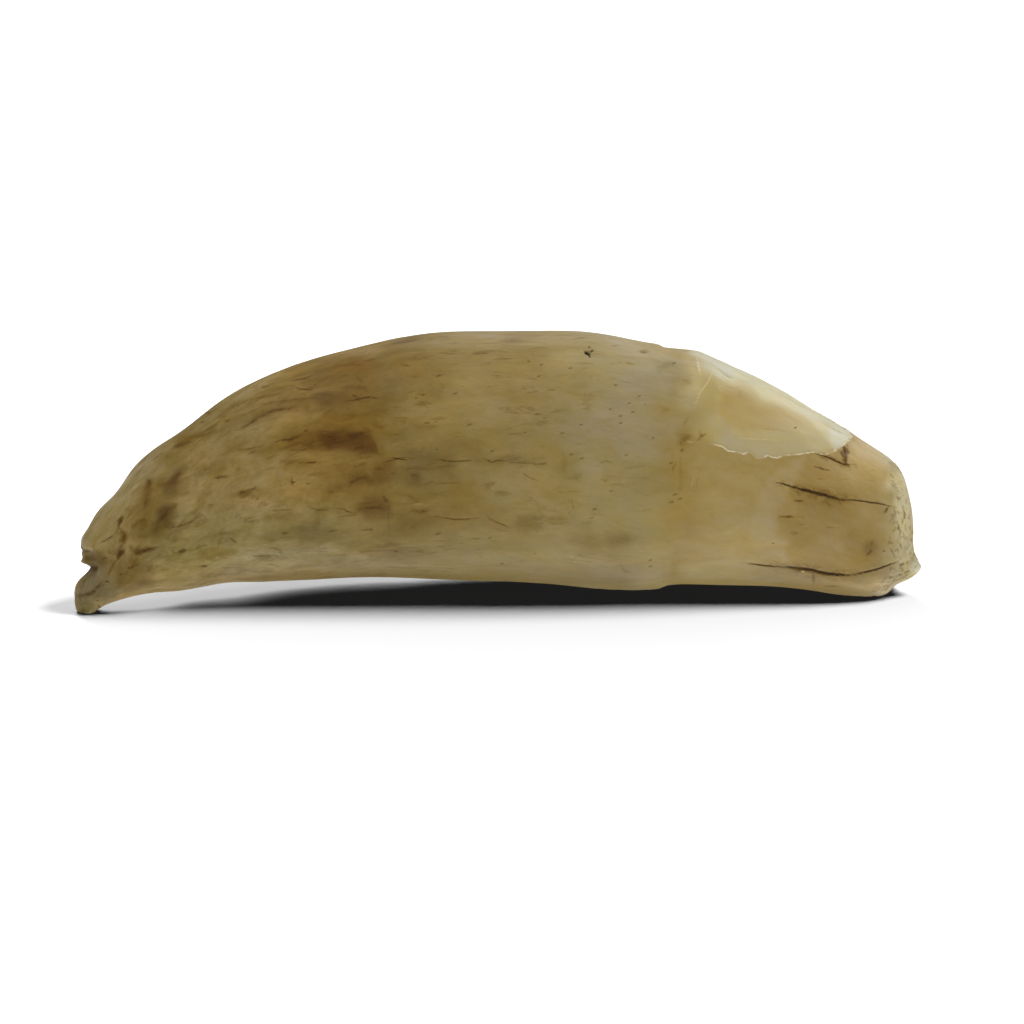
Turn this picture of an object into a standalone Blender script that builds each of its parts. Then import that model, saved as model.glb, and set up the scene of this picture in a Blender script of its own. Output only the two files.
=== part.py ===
"""Sperm whale tooth, about 150 mm long, lying on its concave edge.

Metres, +Z up.  +X runs from the broken root to the worn crown, +Y is the side
away from the viewer of the front drawing, z = 0 is the surface that it rests on,
and the origin is under the middle of its box.

The tooth is one grown piece, so it is one solid: a skin lofted through cross
sections that were read off the side view, then shaped by the broken root end,
the edge of the cementum, the flake lost from the crown and the three worn
spots that it stands on.
"""

import bmesh
import bpy
import numpy as np

MM = 0.001

# ---------------------------------------------------------------- dimensions, mm
# One row for each cross section, from the root to the crown:
# place along the tooth, top, belly, half thickness, sideways bow, lean.
# Lean is how far the section's top sits back for each mm of height.
STATIONS = (
    (-74.3, 3.9, 3.9, 0.0, -15.8, 0.50),
    (-74.0, 7.4, 0.4, 2.2, -15.7, 0.50),
    (-73.3, 9.9, -0.5, 3.3, -15.5, 0.50),
    (-72.4, 12.1, -0.8, 4.3, -15.3, 0.50),
    (-71.2, 14.5, -0.5, 5.1, -15.0, 0.48),
    (-69.6, 16.6, 0.5, 6.0, -14.4, 0.45),
    (-67.2, 18.7, 1.3, 7.2, -13.3, 0.40),
    (-64.6, 22.0, 1.9, 8.3, -12.0, 0.35),
    (-61.1, 25.2, 2.2, 9.6, -10.2, 0.30),
    (-55.9, 28.3, 1.9, 11.4, -7.6, 0.22),
    (-48.9, 33.2, 2.3, 13.4, -4.8, 0.14),
    (-41.9, 36.8, 1.9, 15.0, -2.7, 0.08),
    (-34.8, 39.4, 1.6, 16.4, -1.1, 0.04),
    (-26.0, 41.7, 1.6, 17.8, 0.1, 0.0),
    (-17.0, 43.8, 1.4, 18.8, 0.6, 0.0),
    (-8.2, 44.8, 0.9, 19.4, 0.7, 0.0),
    (0.6, 44.8, 0.6, 19.7, 0.4, 0.0),
    (9.5, 44.8, 0.0, 19.7, -0.3, 0.0),
    (18.2, 44.4, -1.0, 19.5, -1.1, 0.0),
    (25.5, 43.0, -1.2, 19.1, -1.9, 0.0),
    (31.0, 42.2, -0.5, 18.9, -2.4, 0.0),
    (36.5, 41.6, -0.3, 18.4, -3.0, 0.04),
    (44.6, 39.0, -0.1, 17.6, -4.2, 0.12),
    (53.4, 34.1, -0.3, 16.2, -5.7, 0.22),
    (60.0, 28.9, -1.0, 14.9, -6.8, 0.30),
    (65.0, 25.3, -1.2, 13.4, -7.6, 0.33),
    (68.3, 23.0, -0.3, 11.9, -8.2, 0.30),
    (70.3, 20.8, 1.0, 10.0, -8.6, 0.25),
    (71.6, 18.0, 2.2, 7.9, -8.9, 0.20),
    (72.4, 14.8, 3.5, 5.6, -9.1, 0.15),
    (72.8, 11.9, 5.2, 3.1, -9.2, 0.10),
    (72.95, 8.6, 8.6, 0.0, -9.2, 0.10),
)
FULLNESS = 2.25  # 2 is an ellipse, more is squarer

AROUND = 40  # faces around a cross section, a multiple of 8
ROOT_CAP, CROWN_CAP = 9.0, 12.0  # where the end patches meet the rings

# the front drawing: 1024 units across, seen from a fixed point
DRAWN_FROM = (-49.8, -668.4, 142.9)
DRAWN_AT = (2.8, 0.0, 12.6)

# broken root end
NOTCH_DEPTH = 2.8
HOLLOW_DEPTH = 3.4
# crown
CEMENTUM_STEP = 0.45
FLAKE_DEPTH = 1.35
NUB_HEIGHT = 1.5
NUB_AT = (71.2, -15.6, 4.9)
NUB_WIDTH = 1.3
# where the cementum ends, along the tooth
CEMENTUM_END = 29.0
# outline of the lost flake: place along the tooth, angle around it in degrees
FLAKE = (
    (33.0, 96), (32.6, 126), (31.2, 148), (31.8, 161), (35.8, 163), (40.2, 164),
    (44.4, 165), (49.5, 160), (54.2, 151), (58.0, 138), (61.2, 119), (63.2, 97),
    (62.0, 80), (57.0, 67), (50.0, 61), (42.0, 63), (36.0, 76),
)
ARC = 18.0  # mm of arc for each radian around, on the flake's own map


# ---------------------------------------------------------------- curves
def spline(knots, values, at):
    """Natural cubic spline through the values."""
    n = len(knots)
    gap = np.diff(knots)
    left = np.zeros((n, n))
    right = np.zeros((n, values.shape[1]))
    left[0, 0] = left[-1, -1] = 1
    for i in range(1, n - 1):
        left[i, i - 1 : i + 2] = gap[i - 1], 2 * (gap[i - 1] + gap[i]), gap[i]
        right[i] = 6 * (
            (values[i + 1] - values[i]) / gap[i] - (values[i] - values[i - 1]) / gap[i - 1]
        )
    bend = np.linalg.solve(left, right)
    k = np.clip(np.searchsorted(knots, at) - 1, 0, n - 2)
    wide = gap[k][:, None]
    a, b = (knots[k + 1] - at)[:, None], (at - knots[k])[:, None]
    return (
        (bend[k] * a**3 + bend[k + 1] * b**3) / (6 * wide)
        + (values[k] / wide - bend[k] * wide / 6) * a
        + (values[k + 1] / wide - bend[k + 1] * wide / 6) * b
    )


def station_curve():
    """Rows continued past each tip, top and belly exchanged, so that both tips close round."""
    rows = np.array(STATIONS)

    def turned(end):
        end = end.copy()
        end[:, [1, 2]] = end[:, [2, 1]]
        end[:, 3] *= -1
        return end[::-1]

    rows = np.vstack([turned(rows[1:4]), rows, turned(rows[-4:-1])])
    step = np.diff(rows[:, :3], axis=0)
    length = np.sqrt(step[:, 0] ** 2 + (step[:, 1] ** 2 + step[:, 2] ** 2) / 2)
    knots = np.concatenate([[0], np.cumsum(length)])
    return knots - knots[3], rows, knots[-4] - knots[3]


KNOTS, ROWS, LENGTH = station_curve()


def skin(s, turn):
    """Lofted surface. s runs from the root tip, turn from the back over the top to the front."""
    row = spline(KNOTS, ROWS, s)
    c, d = np.cos(turn), np.sin(turn)
    deep = np.sign(c) * np.abs(c) ** (2 / FULLNESS) * row[:, 3]
    high = np.sign(d) * np.abs(d) ** (2 / FULLNESS) * (row[:, 1] - row[:, 2]) / 2
    return np.stack(
        [row[:, 0], row[:, 4] + deep + row[:, 5] * high, (row[:, 1] + row[:, 2]) / 2 + high],
        axis=1,
    )


def girth(s):
    turn = np.linspace(0, 2 * np.pi, 97)
    ring = skin(np.repeat(s, 97), np.tile(turn, len(s))).reshape(len(s), 97, 3)
    return np.linalg.norm(np.diff(ring, axis=1), axis=2).sum(axis=1)


# ---------------------------------------------------------------- net of faces
def net(around):
    """Rings of even faces, closed at each end by a square patch: s, turn and the quads."""
    side, half = around // 4, around // 8
    fine = np.linspace(ROOT_CAP, LENGTH - CROWN_CAP, 400)
    pitch = girth(fine) / around
    count = np.concatenate([[0], np.cumsum(np.diff(fine) * 2 / (pitch[1:] + pitch[:-1]))])
    rings = int(round(count[-1]))
    ring_s = np.interp(np.linspace(0, count[-1], rings + 1), count, fine)
    s, turn, index = [], [], {}

    def add(key, here, angle):
        index[key] = len(s)
        s.append(here)
        turn.append(angle)

    for n, here in enumerate(ring_s):
        for k in range(around):
            add((n, k), here, 2 * np.pi * k / around)
    for end, cap in (("root", ROOT_CAP), ("crown", CROWN_CAP)):
        for i in range(side + 1):
            for j in range(side + 1):
                a, b = i - half, j - half
                r = max(abs(a), abs(b))
                if a == r and b < r:
                    k = b + r
                elif b == r and a > -r:
                    k = 3 * r - a
                elif a == -r and b > -r:
                    k = 5 * r - b
                else:
                    k = 7 * r + a
                k = k % (8 * r) if r else 0
                if r == half:
                    index[end, i, j] = index[0 if end == "root" else rings, k]
                else:
                    here = cap * r / half
                    angle = 2 * np.pi * k / (8 * r) if r else 0.0
                    add((end, i, j), here if end == "root" else LENGTH - here, angle)
    quads = []
    for n in range(rings):
        for k in range(around):
            l = (k + 1) % around
            quads.append((index[n, k], index[n, l], index[n + 1, l], index[n + 1, k]))
    for i in range(side):
        for j in range(side):
            face = [(i, j), (i + 1, j), (i + 1, j + 1), (i, j + 1)]
            quads.append(tuple(index[("root", *v)] for v in reversed(face)))
            quads.append(tuple(index[("crown", *v)] for v in face))
    return np.array(s), np.array(turn), np.array(quads)


def normals(points, quads):
    across = np.cross(
        points[quads[:, 2]] - points[quads[:, 0]], points[quads[:, 3]] - points[quads[:, 1]]
    )
    total = np.zeros_like(points)
    for k in range(4):
        np.add.at(total, quads[:, k], across)
    return total / np.maximum(np.linalg.norm(total, axis=1), 1e-12)[:, None]


# ---------------------------------------------------------------- shaping
def ramp(low, high, value):
    t = np.clip((value - low) / (high - low), 0, 1)
    return t * t * (3 - 2 * t)


def drawn(points):
    """Place on the front drawing, in its units, to the right and down."""
    eye, at = np.array(DRAWN_FROM), np.array(DRAWN_AT)
    out = (eye - at) / np.linalg.norm(eye - at)
    right = np.array([-out[1], out[0], 0]) / np.hypot(out[0], out[1])
    up = np.cross(out, right)
    away = points - eye
    far = -(away @ out)
    return 512 + 3840 * (away @ right) / far, 512 - 3840 * (away @ up) / far


def lattice(cells, seed):
    """One fixed number from -1 to 1 for each lattice cell."""
    n = cells[..., 0] * 374761393 + cells[..., 1] * 668265263 + cells[..., 2] * 2147483647 + seed * 974711
    n = (n ^ (n >> 13)) * 1274126177
    n = (n ^ (n >> 16)) & 0xFFFFFF
    return n / float(0x7FFFFF) - 1.0


def waves(points, seed):
    """Smooth noise, one wave for each unit."""
    cell = np.floor(points).astype(np.int64)
    t = points - cell
    t = t * t * t * (t * (t * 6 - 15) + 10)
    total = np.zeros(len(points))
    for corner in range(8):
        bit = np.array([corner & 1, corner >> 1 & 1, corner >> 2 & 1])
        share = np.prod(np.where(bit, t, 1 - t), axis=1)
        total += share * lattice(cell + bit, seed)
    return total


def inside(x, y, outline):
    """Distance in from a closed outline, negative outside it."""
    nearest = np.full(len(x), 1e9)
    within = np.zeros(len(x), bool)
    for (ax, ay), (bx, by) in zip(outline, np.roll(outline, -1, axis=0)):
        ex, ey = bx - ax, by - ay
        t = np.clip(((x - ax) * ex + (y - ay) * ey) / (ex * ex + ey * ey), 0, 1)
        nearest = np.minimum(nearest, np.hypot(x - ax - t * ex, y - ay - t * ey))
        crosses = (ay > y) != (by > y)
        within ^= crosses & (x < (bx - ax) * (y - ay) / (by - ay if by != ay else 1e-9) + ax)
    return np.where(within, nearest, -nearest)


def shaped(s, turn, quads):
    points = skin(s, turn)
    out = normals(points, quads)
    across, down = drawn(points)
    x = points[:, 0]
    front = ramp(-0.15, 0.35, -np.cos(turn))

    # slow swells and hollows that run along the tooth
    along = np.stack([s / 26, np.cos(turn) * 1.9 + 7, np.sin(turn) * 1.9 + 3], axis=1)
    lift = 0.22 * waves(along, 11) + 0.10 * waves(along * 2.3 + 5, 12)
    lift *= ramp(0, 9, s) * ramp(0, 9, LENGTH - s)

    # the cementum stands proud of the crown
    end = CEMENTUM_END + 1.1 * np.sin(turn * 2 + 0.6) + 0.5 * np.sin(turn * 5)
    lift -= CEMENTUM_STEP * ramp(-0.7, 0.7, x - end) * ramp(0, 30, 76 - x)

    # the flake lost from the top of the crown
    outline = np.array([(a, (np.radians(b) - np.pi / 2) * ARC) for a, b in FLAKE])
    deep = inside(x, (turn - np.pi / 2) * ARC, outline)
    lift -= 0.25 * ramp(-0.3, 0.6, deep) + (FLAKE_DEPTH - 0.25) * ramp(0.3, 9.0, deep)
    points = points + lift[:, None] * out

    # the hollow under the upper lobe of the root, open to the front and to the end
    edge = 547 + 0.40 * (across - 81)
    hollow = (
        ramp(-1.5, 4.0, down - edge)
        * (1 - ramp(8, 44, down - edge))
        * (1 - ramp(98, 128, across))
        * front
    )
    points = points + (HOLLOW_DEPTH * hollow)[:, None] * np.array([0.22, 0.97, 0.08])
    reach = np.where(down < 570, 4.5, 10.0)
    notch = np.exp(-(((down - 570) / reach) ** 2)) * (1 - ramp(82, 110, across))
    points[:, 0] += NOTCH_DEPTH * notch

    # the small lump at the foot of the crown's end
    away = np.linalg.norm(points - np.array(NUB_AT), axis=1)
    nub = NUB_HEIGHT * np.exp(-((away / NUB_WIDTH) ** 2) / 2)
    points = points + nub[:, None] * np.array([0.97, -0.2, 0.12])

    # worn flat where it stands
    points[:, 2] = np.maximum(points[:, 2], 0)
    return points


# ---------------------------------------------------------------- the object
def material(name, colour, roughness):
    made = bpy.data.materials.new(name)
    made.use_nodes = True
    shader = made.node_tree.nodes["Principled BSDF"]
    shader.inputs["Base Color"].default_value = (*colour, 1)
    shader.inputs["Roughness"].default_value = roughness
    shader.inputs["Metallic"].default_value = 0
    return made


def whale_tooth():
    s, turn, quads = net(AROUND)
    points = shaped(s, turn, quads)
    middle = (points.min(axis=0) + points.max(axis=0)) / 2
    points -= np.array([middle[0], middle[1], 0])
    shape = bmesh.new()
    corners = [shape.verts.new(p * MM) for p in points]
    for quad in quads:
        shape.faces.new([corners[i] for i in quad])
    bmesh.ops.recalc_face_normals(shape, faces=shape.faces)
    mesh = bpy.data.meshes.new("whale_tooth")
    shape.to_mesh(mesh)
    shape.free()
    mesh.shade_smooth()
    mesh.materials.append(material("old_ivory", (0.28, 0.21, 0.10), 0.42))
    tooth = bpy.data.objects.new("whale_tooth", mesh)
    bpy.context.scene.collection.objects.link(tooth)
    return tooth


def main():
    for old in list(bpy.data.objects):
        bpy.data.objects.remove(old, do_unlink=True)
    whale_tooth()


main()
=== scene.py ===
"""Looks of the sperm whale tooth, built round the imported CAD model.

The tooth is one grown piece, so one piece stands for the CAD node: the same
lofted skin as in part.py at about thirty times as many faces, finer still
where it is cracked, flaked, pitted or broken.  Its colour comes from nodes,
which read what the mesh carries: a soft base tone, the direction of the grain,
for each dash and crack the distance from its middle line and for each broad
stain the distance in from its outline.

Work is done in millimetres in the frame of part.py's stations and moved to the
row frame at the end.  "Drawing" coordinates are the place of a point on the
1024 unit front drawing, to the right and down.
"""

import bpy
import numpy as np
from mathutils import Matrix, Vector


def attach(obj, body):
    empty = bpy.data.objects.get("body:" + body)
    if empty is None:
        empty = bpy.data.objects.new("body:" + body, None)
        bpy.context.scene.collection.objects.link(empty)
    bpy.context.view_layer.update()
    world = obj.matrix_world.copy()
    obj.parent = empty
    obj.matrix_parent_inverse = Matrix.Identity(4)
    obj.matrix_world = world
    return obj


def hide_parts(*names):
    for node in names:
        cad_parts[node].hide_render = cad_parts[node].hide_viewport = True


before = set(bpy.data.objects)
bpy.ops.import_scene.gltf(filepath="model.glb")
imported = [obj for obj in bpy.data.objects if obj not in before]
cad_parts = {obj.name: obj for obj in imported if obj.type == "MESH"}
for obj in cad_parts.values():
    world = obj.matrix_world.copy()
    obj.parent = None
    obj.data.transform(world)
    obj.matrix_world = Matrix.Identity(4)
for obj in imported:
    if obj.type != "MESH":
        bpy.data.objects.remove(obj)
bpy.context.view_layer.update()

MM = 0.001
PX = 0.1747  # mm for each unit of the drawing, at the tooth's distance
MIDDLE = np.array([-0.595, -1.117, 0.0])  # the row frame's origin among the stations

# ---------------------------------------------------------------- shape, as in part.py
# place along the tooth, top, belly, half thickness, sideways bow, lean, mm
STATIONS = (
    (-74.3, 3.9, 3.9, 0.0, -15.8, 0.50),
    (-74.0, 7.4, 0.4, 2.2, -15.7, 0.50),
    (-73.3, 9.9, -0.5, 3.3, -15.5, 0.50),
    (-72.4, 12.1, -0.8, 4.3, -15.3, 0.50),
    (-71.2, 14.5, -0.5, 5.1, -15.0, 0.48),
    (-69.6, 16.6, 0.5, 6.0, -14.4, 0.45),
    (-67.2, 18.7, 1.3, 7.2, -13.3, 0.40),
    (-64.6, 22.0, 1.9, 8.3, -12.0, 0.35),
    (-61.1, 25.2, 2.2, 9.6, -10.2, 0.30),
    (-55.9, 28.3, 1.9, 11.4, -7.6, 0.22),
    (-48.9, 33.2, 2.3, 13.4, -4.8, 0.14),
    (-41.9, 36.8, 1.9, 15.0, -2.7, 0.08),
    (-34.8, 39.4, 1.6, 16.4, -1.1, 0.04),
    (-26.0, 41.7, 1.6, 17.8, 0.1, 0.0),
    (-17.0, 43.8, 1.4, 18.8, 0.6, 0.0),
    (-8.2, 44.8, 0.9, 19.4, 0.7, 0.0),
    (0.6, 44.8, 0.6, 19.7, 0.4, 0.0),
    (9.5, 44.8, 0.0, 19.7, -0.3, 0.0),
    (18.2, 44.4, -1.0, 19.5, -1.1, 0.0),
    (25.5, 43.0, -1.2, 19.1, -1.9, 0.0),
    (31.0, 42.2, -0.5, 18.9, -2.4, 0.0),
    (36.5, 41.6, -0.3, 18.4, -3.0, 0.04),
    (44.6, 39.0, -0.1, 17.6, -4.2, 0.12),
    (53.4, 34.1, -0.3, 16.2, -5.7, 0.22),
    (60.0, 28.9, -1.0, 14.9, -6.8, 0.30),
    (65.0, 25.3, -1.2, 13.4, -7.6, 0.33),
    (68.3, 23.0, -0.3, 11.9, -8.2, 0.30),
    (70.3, 20.8, 1.0, 10.0, -8.6, 0.25),
    (71.6, 18.0, 2.2, 7.9, -8.9, 0.20),
    (72.4, 14.8, 3.5, 5.6, -9.1, 0.15),
    (72.8, 11.9, 5.2, 3.1, -9.2, 0.10),
    (72.95, 8.6, 8.6, 0.0, -9.2, 0.10),
)
FULLNESS = 2.25
AROUND = 152
ROOT_CAP, CROWN_CAP = 9.0, 12.0
DRAWN_FROM = (-49.8, -668.4, 142.9)
DRAWN_AT = (2.8, 0.0, 12.6)
NOTCH_DEPTH = 2.5
HOLLOW_DEPTH = 0.48
CEMENTUM_STEP = 0.45
FLAKE_DEPTH = 2.05
NUB_HEIGHT = 2.0
NUB_AT = (71.2, -15.6, 4.45)
NUB_WIDTH = 1.5
CEMENTUM_END = 29.0
# where the worn strip at the crown's end begins on the drawing: heights, places
WORN_FROM = (
    (440, 456, 468, 482, 494, 505, 520, 532, 545, 555, 566, 578, 588, 600),
    (896, 888, 890, 889, 888, 893, 889, 890, 887, 893, 891, 886, 874, 866),
)
ARC = 18.0

# the flake's ragged lower edge, on the drawing, from its left side to its right
RIM = (
    (692, 357), (697, 374), (699, 390), (695, 407), (690, 424), (689, 437),
    (693, 443), (703, 445.6), (712, 444.4), (722.5, 446.8), (728, 451.2), (737, 452.4),
    (744, 454.4), (749, 452.2), (753.5, 455.2), (757, 458.6), (763, 458.6), (768, 455.6),
    (773, 457.6), (778, 458.4), (783, 456.0), (788, 455.4), (799, 454.8), (808, 453.4),
    (815.5, 452.2), (820, 453.8), (826, 455.0), (834, 452.2), (843, 446.0), (850, 440.5),
    (854, 435),
)
# its other side, behind the ridge: place along the tooth, angle around it
FLAKE_BEHIND = ((63.4, 97), (62.0, 80), (57.0, 67), (50.0, 61), (42.0, 63), (36.0, 76), (33.0, 96))


def spline(knots, values, at):
    """Natural cubic spline through the values."""
    n = len(knots)
    gap = np.diff(knots)
    left = np.zeros((n, n))
    right = np.zeros((n, values.shape[1]))
    left[0, 0] = left[-1, -1] = 1
    for i in range(1, n - 1):
        left[i, i - 1 : i + 2] = gap[i - 1], 2 * (gap[i - 1] + gap[i]), gap[i]
        right[i] = 6 * (
            (values[i + 1] - values[i]) / gap[i] - (values[i] - values[i - 1]) / gap[i - 1]
        )
    bend = np.linalg.solve(left, right)
    k = np.clip(np.searchsorted(knots, at) - 1, 0, n - 2)
    wide = gap[k][:, None]
    a, b = (knots[k + 1] - at)[:, None], (at - knots[k])[:, None]
    return (
        (bend[k] * a**3 + bend[k + 1] * b**3) / (6 * wide)
        + (values[k] / wide - bend[k] * wide / 6) * a
        + (values[k + 1] / wide - bend[k + 1] * wide / 6) * b
    )


def station_curve():
    """Rows continued past each tip, top and belly exchanged, so that both tips close round."""
    rows = np.array(STATIONS)

    def turned(end):
        end = end.copy()
        end[:, [1, 2]] = end[:, [2, 1]]
        end[:, 3] *= -1
        return end[::-1]

    rows = np.vstack([turned(rows[1:4]), rows, turned(rows[-4:-1])])
    step = np.diff(rows[:, :3], axis=0)
    length = np.sqrt(step[:, 0] ** 2 + (step[:, 1] ** 2 + step[:, 2] ** 2) / 2)
    knots = np.concatenate([[0], np.cumsum(length)])
    return knots - knots[3], rows, knots[-4] - knots[3]


KNOTS, ROWS, LENGTH = station_curve()


def skin(s, turn):
    """Lofted surface. s runs from the root tip, turn from the back over the top to the front."""
    row = spline(KNOTS, ROWS, s)
    c, d = np.cos(turn), np.sin(turn)
    deep = np.sign(c) * np.abs(c) ** (2 / FULLNESS) * row[:, 3]
    high = np.sign(d) * np.abs(d) ** (2 / FULLNESS) * (row[:, 1] - row[:, 2]) / 2
    return np.stack(
        [row[:, 0], row[:, 4] + deep + row[:, 5] * high, (row[:, 1] + row[:, 2]) / 2 + high],
        axis=1,
    )


def girth(s):
    turn = np.linspace(0, 2 * np.pi, 97)
    ring = skin(np.repeat(s, 97), np.tile(turn, len(s))).reshape(len(s), 97, 3)
    return np.linalg.norm(np.diff(ring, axis=1), axis=2).sum(axis=1)


def net(around):
    """Rings of even faces, closed at each end by a square patch: s, turn and the quads."""
    side, half = around // 4, around // 8
    fine = np.linspace(ROOT_CAP, LENGTH - CROWN_CAP, 400)
    pitch = girth(fine) / around
    count = np.concatenate([[0], np.cumsum(np.diff(fine) * 2 / (pitch[1:] + pitch[:-1]))])
    rings = int(round(count[-1]))
    ring_s = np.interp(np.linspace(0, count[-1], rings + 1), count, fine)
    s, turn, index = [], [], {}

    def add(key, here, angle):
        index[key] = len(s)
        s.append(here)
        turn.append(angle)

    for n, here in enumerate(ring_s):
        for k in range(around):
            add((n, k), here, 2 * np.pi * k / around)
    for end, cap in (("root", ROOT_CAP), ("crown", CROWN_CAP)):
        for i in range(side + 1):
            for j in range(side + 1):
                a, b = i - half, j - half
                r = max(abs(a), abs(b))
                if a == r and b < r:
                    k = b + r
                elif b == r and a > -r:
                    k = 3 * r - a
                elif a == -r and b > -r:
                    k = 5 * r - b
                else:
                    k = 7 * r + a
                k = k % (8 * r) if r else 0
                if r == half:
                    index[end, i, j] = index[0 if end == "root" else rings, k]
                else:
                    here = cap * r / half
                    angle = 2 * np.pi * k / (8 * r) if r else 0.0
                    add((end, i, j), here if end == "root" else LENGTH - here, angle)
    quads = []
    for n in range(rings):
        for k in range(around):
            l = (k + 1) % around
            quads.append((index[n, k], index[n, l], index[n + 1, l], index[n + 1, k]))
    for i in range(side):
        for j in range(side):
            face = [(i, j), (i + 1, j), (i + 1, j + 1), (i, j + 1)]
            quads.append(tuple(index[("root", *v)] for v in reversed(face)))
            quads.append(tuple(index[("crown", *v)] for v in face))
    return np.array(s), np.array(turn), quads


def ramp(low, high, value):
    t = np.clip((value - low) / (high - low), 0, 1)
    return t * t * (3 - 2 * t)


def drawn(points):
    """Place on the front drawing, in its units, to the right and down."""
    eye, at = np.array(DRAWN_FROM), np.array(DRAWN_AT)
    out = (eye - at) / np.linalg.norm(eye - at)
    right = np.array([-out[1], out[0], 0]) / np.hypot(out[0], out[1])
    up = np.cross(out, right)
    away = points - eye
    far = -(away @ out)
    return 512 + 3840 * (away @ right) / far, 512 - 3840 * (away @ up) / far


def lattice(cells, seed):
    """One fixed number from -1 to 1 for each lattice cell."""
    n = cells[..., 0] * 374761393 + cells[..., 1] * 668265263 + cells[..., 2] * 2147483647 + seed * 974711
    n = (n ^ (n >> 13)) * 1274126177
    n = (n ^ (n >> 16)) & 0xFFFFFF
    return n / float(0x7FFFFF) - 1.0


def waves(points, seed):
    """Smooth noise, one wave for each unit."""
    cell = np.floor(points).astype(np.int64)
    t = points - cell
    t = t * t * t * (t * (t * 6 - 15) + 10)
    total = np.zeros(len(points))
    for corner in range(8):
        bit = np.array([corner & 1, corner >> 1 & 1, corner >> 2 & 1])
        share = np.prod(np.where(bit, t, 1 - t), axis=1)
        total += share * lattice(cell + bit, seed)
    return total


def inside(x, y, outline):
    """Distance in from a closed outline, negative outside it."""
    nearest = np.full(len(x), 1e9)
    within = np.zeros(len(x), bool)
    for (ax, ay), (bx, by) in zip(outline, np.roll(outline, -1, axis=0)):
        ex, ey = bx - ax, by - ay
        t = np.clip(((x - ax) * ex + (y - ay) * ey) / (ex * ex + ey * ey), 0, 1)
        nearest = np.minimum(nearest, np.hypot(x - ax - t * ex, y - ay - t * ey))
        crosses = (ay > y) != (by > y)
        within ^= crosses & (x < (bx - ax) * (y - ay) / (by - ay if by != ay else 1e-9) + ax)
    return np.where(within, nearest, -nearest)


# ---------------------------------------------------------------- finer mesh
def place_of(s, turn):
    """A point's place on the skin as a vector that can be averaged, at the tips too."""
    reach = np.clip(np.minimum(s, LENGTH - s), 0, 20)
    return np.stack([s, reach * np.cos(turn), reach * np.sin(turn)], axis=1)


def split(s, turn, faces, chosen):
    """Splits the chosen quads in four; a face beside one takes up the new points on its edges."""
    place = place_of(s, turn)
    count, new, edge = len(place), [], {}

    def between(a, b):
        key = (a, b) if a < b else (b, a)
        if key not in edge:
            edge[key] = count + len(new)
            new.append((place[a] + place[b]) / 2)
        return edge[key]

    made = []
    for face, wanted in zip(faces, chosen):
        if wanted and len(face) == 4:
            a, b, c, d = face
            ab, bc, cd, da = between(a, b), between(b, c), between(c, d), between(d, a)
            centre = count + len(new)
            new.append((place[a] + place[b] + place[c] + place[d]) / 4)
            made += [(a, ab, centre, da), (ab, b, bc, centre), (centre, bc, c, cd), (da, centre, cd, d)]
    for face, wanted in zip(faces, chosen):
        if not wanted or len(face) != 4:
            whole = []
            for a, b in zip(face, face[1:] + face[:1]):
                whole.append(a)
                middle = edge.get((a, b) if a < b else (b, a))
                if middle is not None:
                    whole.append(middle)
            made.append(tuple(whole))
    new = np.array(new).reshape(-1, 3)
    return (
        np.concatenate([s, new[:, 0]]),
        np.concatenate([turn, np.arctan2(new[:, 2], new[:, 1]) % (2 * np.pi)]),
        made,
    )


def triangles(faces):
    return np.array([(f[0], f[k], f[k + 1]) for f in faces for k in range(1, len(f) - 1)])


def normals(points, tris):
    across = np.cross(points[tris[:, 1]] - points[tris[:, 0]], points[tris[:, 2]] - points[tris[:, 0]])
    total = np.zeros_like(points)
    for k in range(3):
        for axis in range(3):
            total[:, axis] += np.bincount(tris[:, k], across[:, axis], len(points))
    return total / np.maximum(np.linalg.norm(total, axis=1), 1e-12)[:, None]


def facing(points, out):
    """How squarely the surface faces the viewer of the drawing, 1 at most."""
    sight = np.array(DRAWN_FROM) - points
    return (out * sight).sum(axis=1) / np.linalg.norm(sight, axis=1)


# ---------------------------------------------------------------- shaping
def rounds(s, turn):
    """Coordinates of the grain, mm: along the tooth and two around it."""
    across = np.interp(s, FINE_S, FINE_GIRTH / (2 * np.pi))
    return np.stack([s, across * np.cos(turn), across * np.sin(turn)], axis=1)


def base(s, turn, tris):
    """The skin with its slow swells and the step at the end of the cementum."""
    points = skin(s, turn)
    out = normals(points, tris)
    x = points[:, 0]
    along = np.stack([s / 26, np.cos(turn) * 1.9 + 7, np.sin(turn) * 1.9 + 3], axis=1)
    lift = 0.22 * waves(along, 11) + 0.10 * waves(along * 2.3 + 5, 12)
    lift *= ramp(0, 9, s) * ramp(0, 9, LENGTH - s)
    lift -= CEMENTUM_STEP * ramp(-0.7, 0.7, cementum_end(x, s, turn)) * ramp(0, 30, 76 - x)
    return points, out, lift


def cementum_end(x, s, turn):
    """Distance past the edge of the cementum, mm."""
    edge = CEMENTUM_END + 1.1 * np.sin(turn * 2 + 0.6) + 0.5 * np.sin(turn * 5)
    edge += 0.35 * waves(rounds(s, turn) / 3.0, 31) + 0.15 * waves(rounds(s, turn) / 1.1, 32)
    return x - edge


def pick(points, out, s, turn, spots):
    """Where points of the drawing lie on the skin: place along the tooth, turn and s."""
    u, v = drawn(points)
    seen = np.flatnonzero(facing(points, out) > 0.02)
    u, v = u[seen], v[seen]
    found = []
    for a, b in spots:
        near = np.argsort((u - a) ** 2 + (v - b) ** 2)[:7]
        fit = np.stack([np.ones(7), u[near] - a, v[near] - b], axis=1)
        wanted = np.stack([points[seen[near], 0], turn[seen[near]], s[seen[near]]], axis=1)
        found.append(np.linalg.lstsq(fit, wanted, rcond=None)[0][0])
    return np.array(found)


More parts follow.
